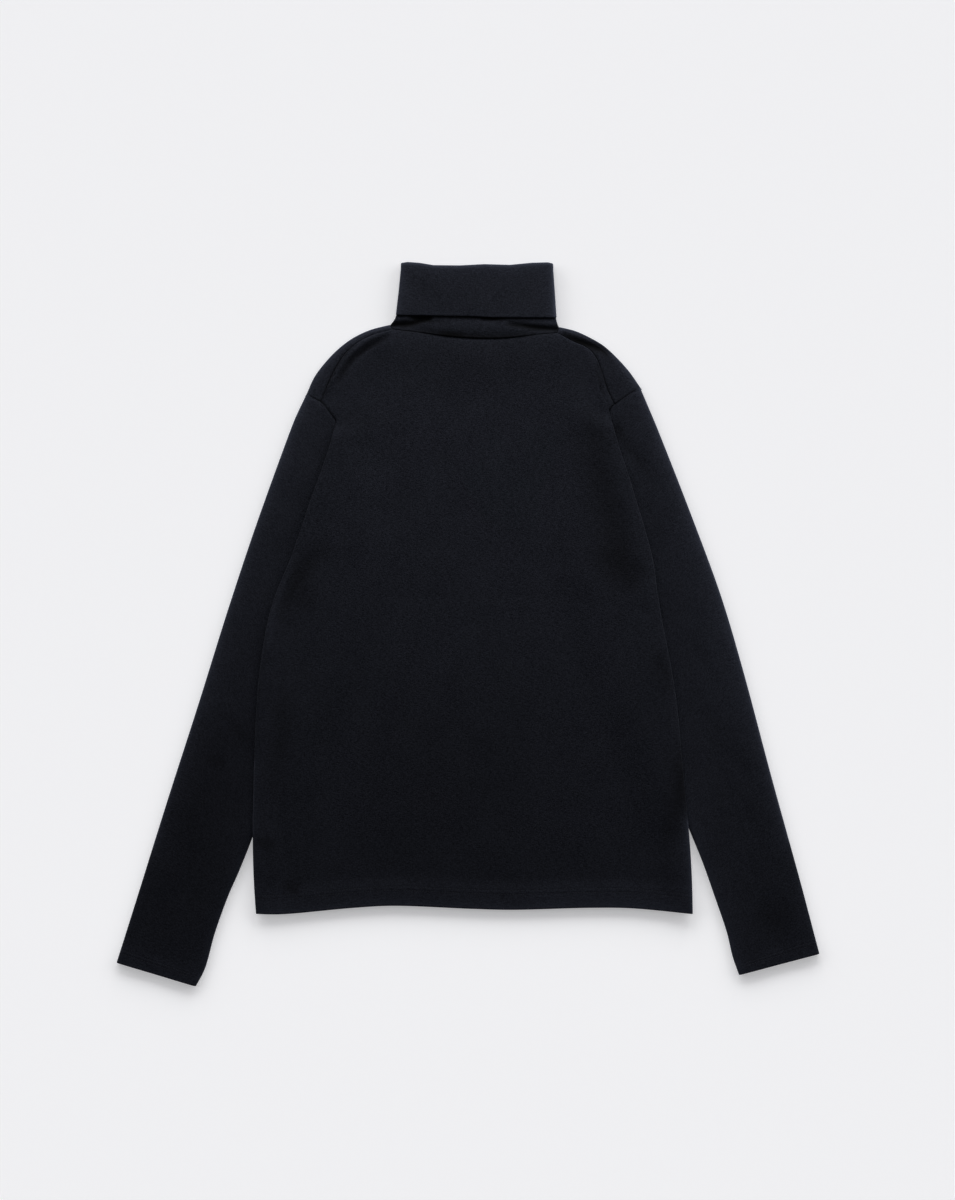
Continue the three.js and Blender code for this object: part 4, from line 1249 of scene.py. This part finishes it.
# What fuzz, slubs, clouds and knit each add to the tone, and where the tone is dark and pale
TONE_SHARES = (0.54, 0.36, 0.08, 0.03)
DARK_YARN = (0.39, (0.0013, 0.0017, 0.0032))
PALE_YARN = (0.62, (0.01, 0.0111, 0.0156))
# The colour of the painted highlight along edges and ridges
PAINTED_LIGHT_COLOUR = (0.0057, 0.0064, 0.0093)
SHEEN = 0.05
DARK_THREAD = (0.0, (0.004, 0.0045, 0.0068))
PALE_THREAD = (1.0, (0.012, 0.013, 0.018))
TWIST = 3000.0


class Nodes:
    """Short hands for the nodes of a new material."""

    def __init__(self, name):
        self.material = bpy.data.materials.new(name)
        self.material.use_nodes = True
        self.tree = self.material.node_tree
        self.shader = self.tree.nodes["Principled BSDF"]

    def fill(self, node, inputs):
        """Links a node's inputs to sockets, or sets them to values."""
        for key, value in inputs.items():
            if isinstance(value, bpy.types.NodeSocket):
                self.tree.links.new(value, node.inputs[key])
            else:
                node.inputs[key].default_value = value

    def add(self, kind, inputs=(), **settings):
        node = self.tree.nodes.new(kind)
        for name, value in settings.items():
            setattr(node, name, value)
        self.fill(node, dict(inputs))
        return node

    def math(self, operation, first, second=0.0, third=0.0):
        inputs = {0: first, 1: second, 2: third}
        return self.add("ShaderNodeMath", inputs, operation=operation).outputs[0]

    def vector(self, operation, inputs):
        return self.add("ShaderNodeVectorMath", inputs, operation=operation).outputs["Vector"]

    def noise(self, vector, scale, detail=2.0):
        made = self.add("ShaderNodeTexNoise", {"Vector": vector, "Scale": scale, "Detail": detail})
        return made.outputs["Fac"]

    def ramp(self, tone, dark, pale):
        """A colour from dark to pale, each of them given with its tone."""
        node = self.add("ShaderNodeValToRGB", {"Fac": tone})
        for element, (place, colour) in zip(node.color_ramp.elements, (dark, pale)):
            element.position = place
            element.color = (*colour, 1)
        return node.outputs["Color"]

    def bump(self, height, strength, distance, **below):
        inputs = {"Height": height, "Strength": strength, "Distance": distance, **below}
        return self.add("ShaderNodeBump", inputs).outputs["Normal"]


def knit_relief(nodes, place):
    """The slanted legs of the knit's stitches, from a place in millimetres."""
    wale = nodes.math("MULTIPLY", place.outputs[0], 1 / WALE)
    course = nodes.math("MULTIPLY", place.outputs[1], 1 / COURSE)
    leg = nodes.math("PINGPONG", wale, 0.5)
    slant = nodes.math("MULTIPLY_ADD", leg, SLANT, course)
    loop = nodes.math("SINE", nodes.math("MULTIPLY", slant, 2 * np.pi))
    ridge = nodes.math("SINE", nodes.math("MULTIPLY", leg, 2 * np.pi))
    return nodes.math("MULTIPLY_ADD", ridge, LEG_HEIGHT, nodes.math("MULTIPLY", loop, LOOP_HEIGHT))


def jersey_colour(nodes, parts, change):
    """A mottled near-black, darkened by painted shade in hollows and paled by a painted highlight along
    edges and ridges.
    """
    tone = 0.0
    for part, share in zip(parts, TONE_SHARES):
        tone = nodes.math("MULTIPLY_ADD", part, share, tone)
    painted_shade_factor = nodes.math("ADD", nodes.math("MINIMUM", change, 0.0), 1.0)
    painted_light_share = nodes.math("MAXIMUM", change, 0.0)
    shaded = nodes.vector("SCALE", {0: nodes.ramp(tone, DARK_YARN, PALE_YARN), "Scale": painted_shade_factor})
    painted_light = nodes.vector("SCALE", {0: PAINTED_LIGHT_COLOUR, "Scale": painted_light_share})
    return nodes.vector("ADD", {0: shaded, 1: painted_light})


def jersey_material():
    nodes = Nodes("jersey_knit")
    grain = nodes.add("ShaderNodeAttribute", attribute_name="grain").outputs["Vector"]
    place = nodes.add("ShaderNodeSeparateXYZ", {"Vector": grain})
    knit = knit_relief(nodes, place)
    # The grain's third value is the painted light and shade
    change = place.outputs[2]
    body = nodes.add("ShaderNodeTexCoord").outputs["Object"]
    tilted = nodes.add("ShaderNodeMapping", {"Vector": body, "Rotation": NOISE_TILT})
    fuzz = nodes.noise(tilted.outputs["Vector"], *FUZZ)
    cloud = nodes.noise(tilted.outputs["Vector"], *CLOUD)
    slub = nodes.noise(nodes.vector("MULTIPLY", {0: grain, 1: SLUB_STRETCH}), *SLUB)
    normal = nodes.bump(knit, 0.45, 0.0002)
    normal = nodes.bump(fuzz, 0.5, 0.0004, Normal=normal)
    normal = nodes.bump(slub, 0.5, 0.0004, Normal=normal)
    nodes.fill(nodes.shader, {
        "Base Color": jersey_colour(nodes, (fuzz, slub, cloud, knit), change),
        "Normal": normal,
        "Roughness": nodes.math("MULTIPLY_ADD", slub, 0.12, 0.84),
        "Specular IOR Level": 0.06,
        # The sheen is also weakened by the painted shade and strengthened by the painted light
        "Sheen Weight": nodes.math("MULTIPLY_ADD", change, SHEEN, SHEEN),
        "Sheen Roughness": 0.35,
        "Sheen Tint": (0.75, 0.8, 1, 1),
    })
    return nodes.material


def thread_material():
    nodes = Nodes("sewing_thread")
    twist = nodes.noise(nodes.add("ShaderNodeTexCoord").outputs["Object"], TWIST)
    nodes.fill(nodes.shader, {
        "Base Color": nodes.ramp(twist, DARK_THREAD, PALE_THREAD),
        "Roughness": nodes.math("MULTIPLY_ADD", twist, 0.2, 0.55),
        "Specular IOR Level": 0.1,
    })
    return nodes.material


# Floor: half its width, how far it lies below the cloth, its tone and its faint glow
FLOOR_REACH = 15.0
FLOOR_DROP = 0.0002
FLOOR_TONE = 0.8
FLOOR_GLOW = 0.347


def make_floor():
    mesh = bpy.data.meshes.new("floor")
    corners = [(-1, -1), (1, -1), (1, 1), (-1, 1)]
    mesh.from_pydata([(x * FLOOR_REACH, y * FLOOR_REACH, -FLOOR_DROP) for x, y in corners], [],
                     [(0, 1, 2, 3)])
    floor = bpy.data.objects.new("floor", mesh)
    bpy.context.scene.collection.objects.link(floor)
    nodes = Nodes("pale_floor")
    nodes.fill(nodes.shader, {
        "Base Color": (FLOOR_TONE, FLOOR_TONE, 1.02 * FLOOR_TONE, 1),
        "Roughness": 0.9,
        "Specular IOR Level": 0.0,
        "Emission Color": (0.985, 0.985, 1, 1),
        "Emission Strength": FLOOR_GLOW,
    })
    mesh.materials.append(nodes.material)
    return floor


# Panels that light the cloth: name, place, energy, width and height
PANELS = [
    ("panel", (0.0, 1.35, 0.68), 64.0, (4.0, 0.95)),
    ("left_panel", (-1.6, 0.7, 0.65), 7.0, (1.4, 0.9)),
    ("right_panel", (1.6, 0.7, 0.65), 20.0, (1.4, 0.9)),
]
PANEL_AIM = (0, -0.1, 0)
# The low lights' height above the floor and how wide they look, in degrees
SUN_HEIGHT = 15.0
SUN_SPREAD = 22.0
# How far each low light stands to the side, in degrees, and its strength
LOW_LIGHTS = [(-75, 0.7), (-45, 1.0), (-15, 1.7), (15, 1.7), (45, 1.0), (75, 0.7)]
WORLD_COLOUR = (0.95, 0.96, 1, 1)
WORLD_STRENGTH = 0.1


def add_light(name, kind, energy, place, aim, lit):
    """A lamp at a place, turned to an aim, that lights only the pieces it is given."""
    data = bpy.data.lights.new(name, kind)
    data.energy = energy
    light = bpy.data.objects.new(name, data)
    light.location = place
    light.rotation_euler = (Vector(aim) - Vector(place)).to_track_quat("-Z", "Y").to_euler()
    light.visible_camera = False
    bpy.context.scene.collection.objects.link(light)
    pieces = bpy.data.collections.new(name + "_lights")
    for piece in lit:
        pieces.objects.link(piece)
    light.light_linking.receiver_collection = pieces
    return data


def make_lights(floor, cloth):
    """Panels round the cloth light it, and a fan of low even lights the floor."""
    for name, place, energy, size in PANELS:
        lamp = add_light(name, "AREA", energy, place, PANEL_AIM, cloth)
        lamp.shape = "RECTANGLE"
        lamp.size, lamp.size_y = size
    height = np.radians(SUN_HEIGHT)
    for degrees, strength in LOW_LIGHTS:
        turn = np.radians(degrees)
        place = (np.cos(height) * np.sin(turn), np.cos(height) * np.cos(turn), np.sin(height))
        sun = add_light("low_light", "SUN", strength, place, (0, 0, 0), [floor])
        sun.angle = np.radians(SUN_SPREAD)


def make_world():
    """A faint even light from all round."""
    world = bpy.data.worlds.new("studio")
    world.use_nodes = True
    background = world.node_tree.nodes["Background"]
    background.inputs["Color"].default_value = WORLD_COLOUR
    background.inputs["Strength"].default_value = WORLD_STRENGTH
    bpy.context.scene.world = world
    bpy.context.scene.view_settings.view_transform = "Standard"


# The picture is 955 by 1200 pixels of 1.1 mm, and its middle pixel shows this place
PICTURE_HEIGHT = 1200 * 1.1 * METRE
PICTURE_MIDDLE = (0.01045, 0.0264)
CLOTH_LEVEL = 0.004
LENS = 100.0
SENSOR = 36.0


def make_camera():
    data = bpy.data.cameras.new("camera")
    data.lens = LENS
    data.sensor_width = SENSOR
    camera = bpy.data.objects.new("camera", data)
    camera.location = (*PICTURE_MIDDLE, CLOTH_LEVEL + PICTURE_HEIGHT * LENS / SENSOR)
    bpy.context.scene.collection.objects.link(camera)
    bpy.context.scene.camera = camera


make_camera()
floor = make_floor()
jersey = jersey_material()
thread = thread_material()
dress("back", back_cloth(), jersey)
dress("front", front_cloth(), jersey)
add_stitches("hem_stitches_front", hem_runs(True), thread)
add_stitches("hem_stitches_back", hem_runs(False), thread)
for side in SLEEVES:
    add_stitches("cuff_stitches_" + side, cuff_runs(side), thread)
    dress("sleeve_" + side, sleeve_cloth(side), jersey)
dress("collar", collar_cloth(), jersey, up=COLLAR_REACH)
cloth = [piece for piece in bpy.data.objects if piece.type == "MESH" and piece != floor]
make_lights(floor, cloth)
make_world()
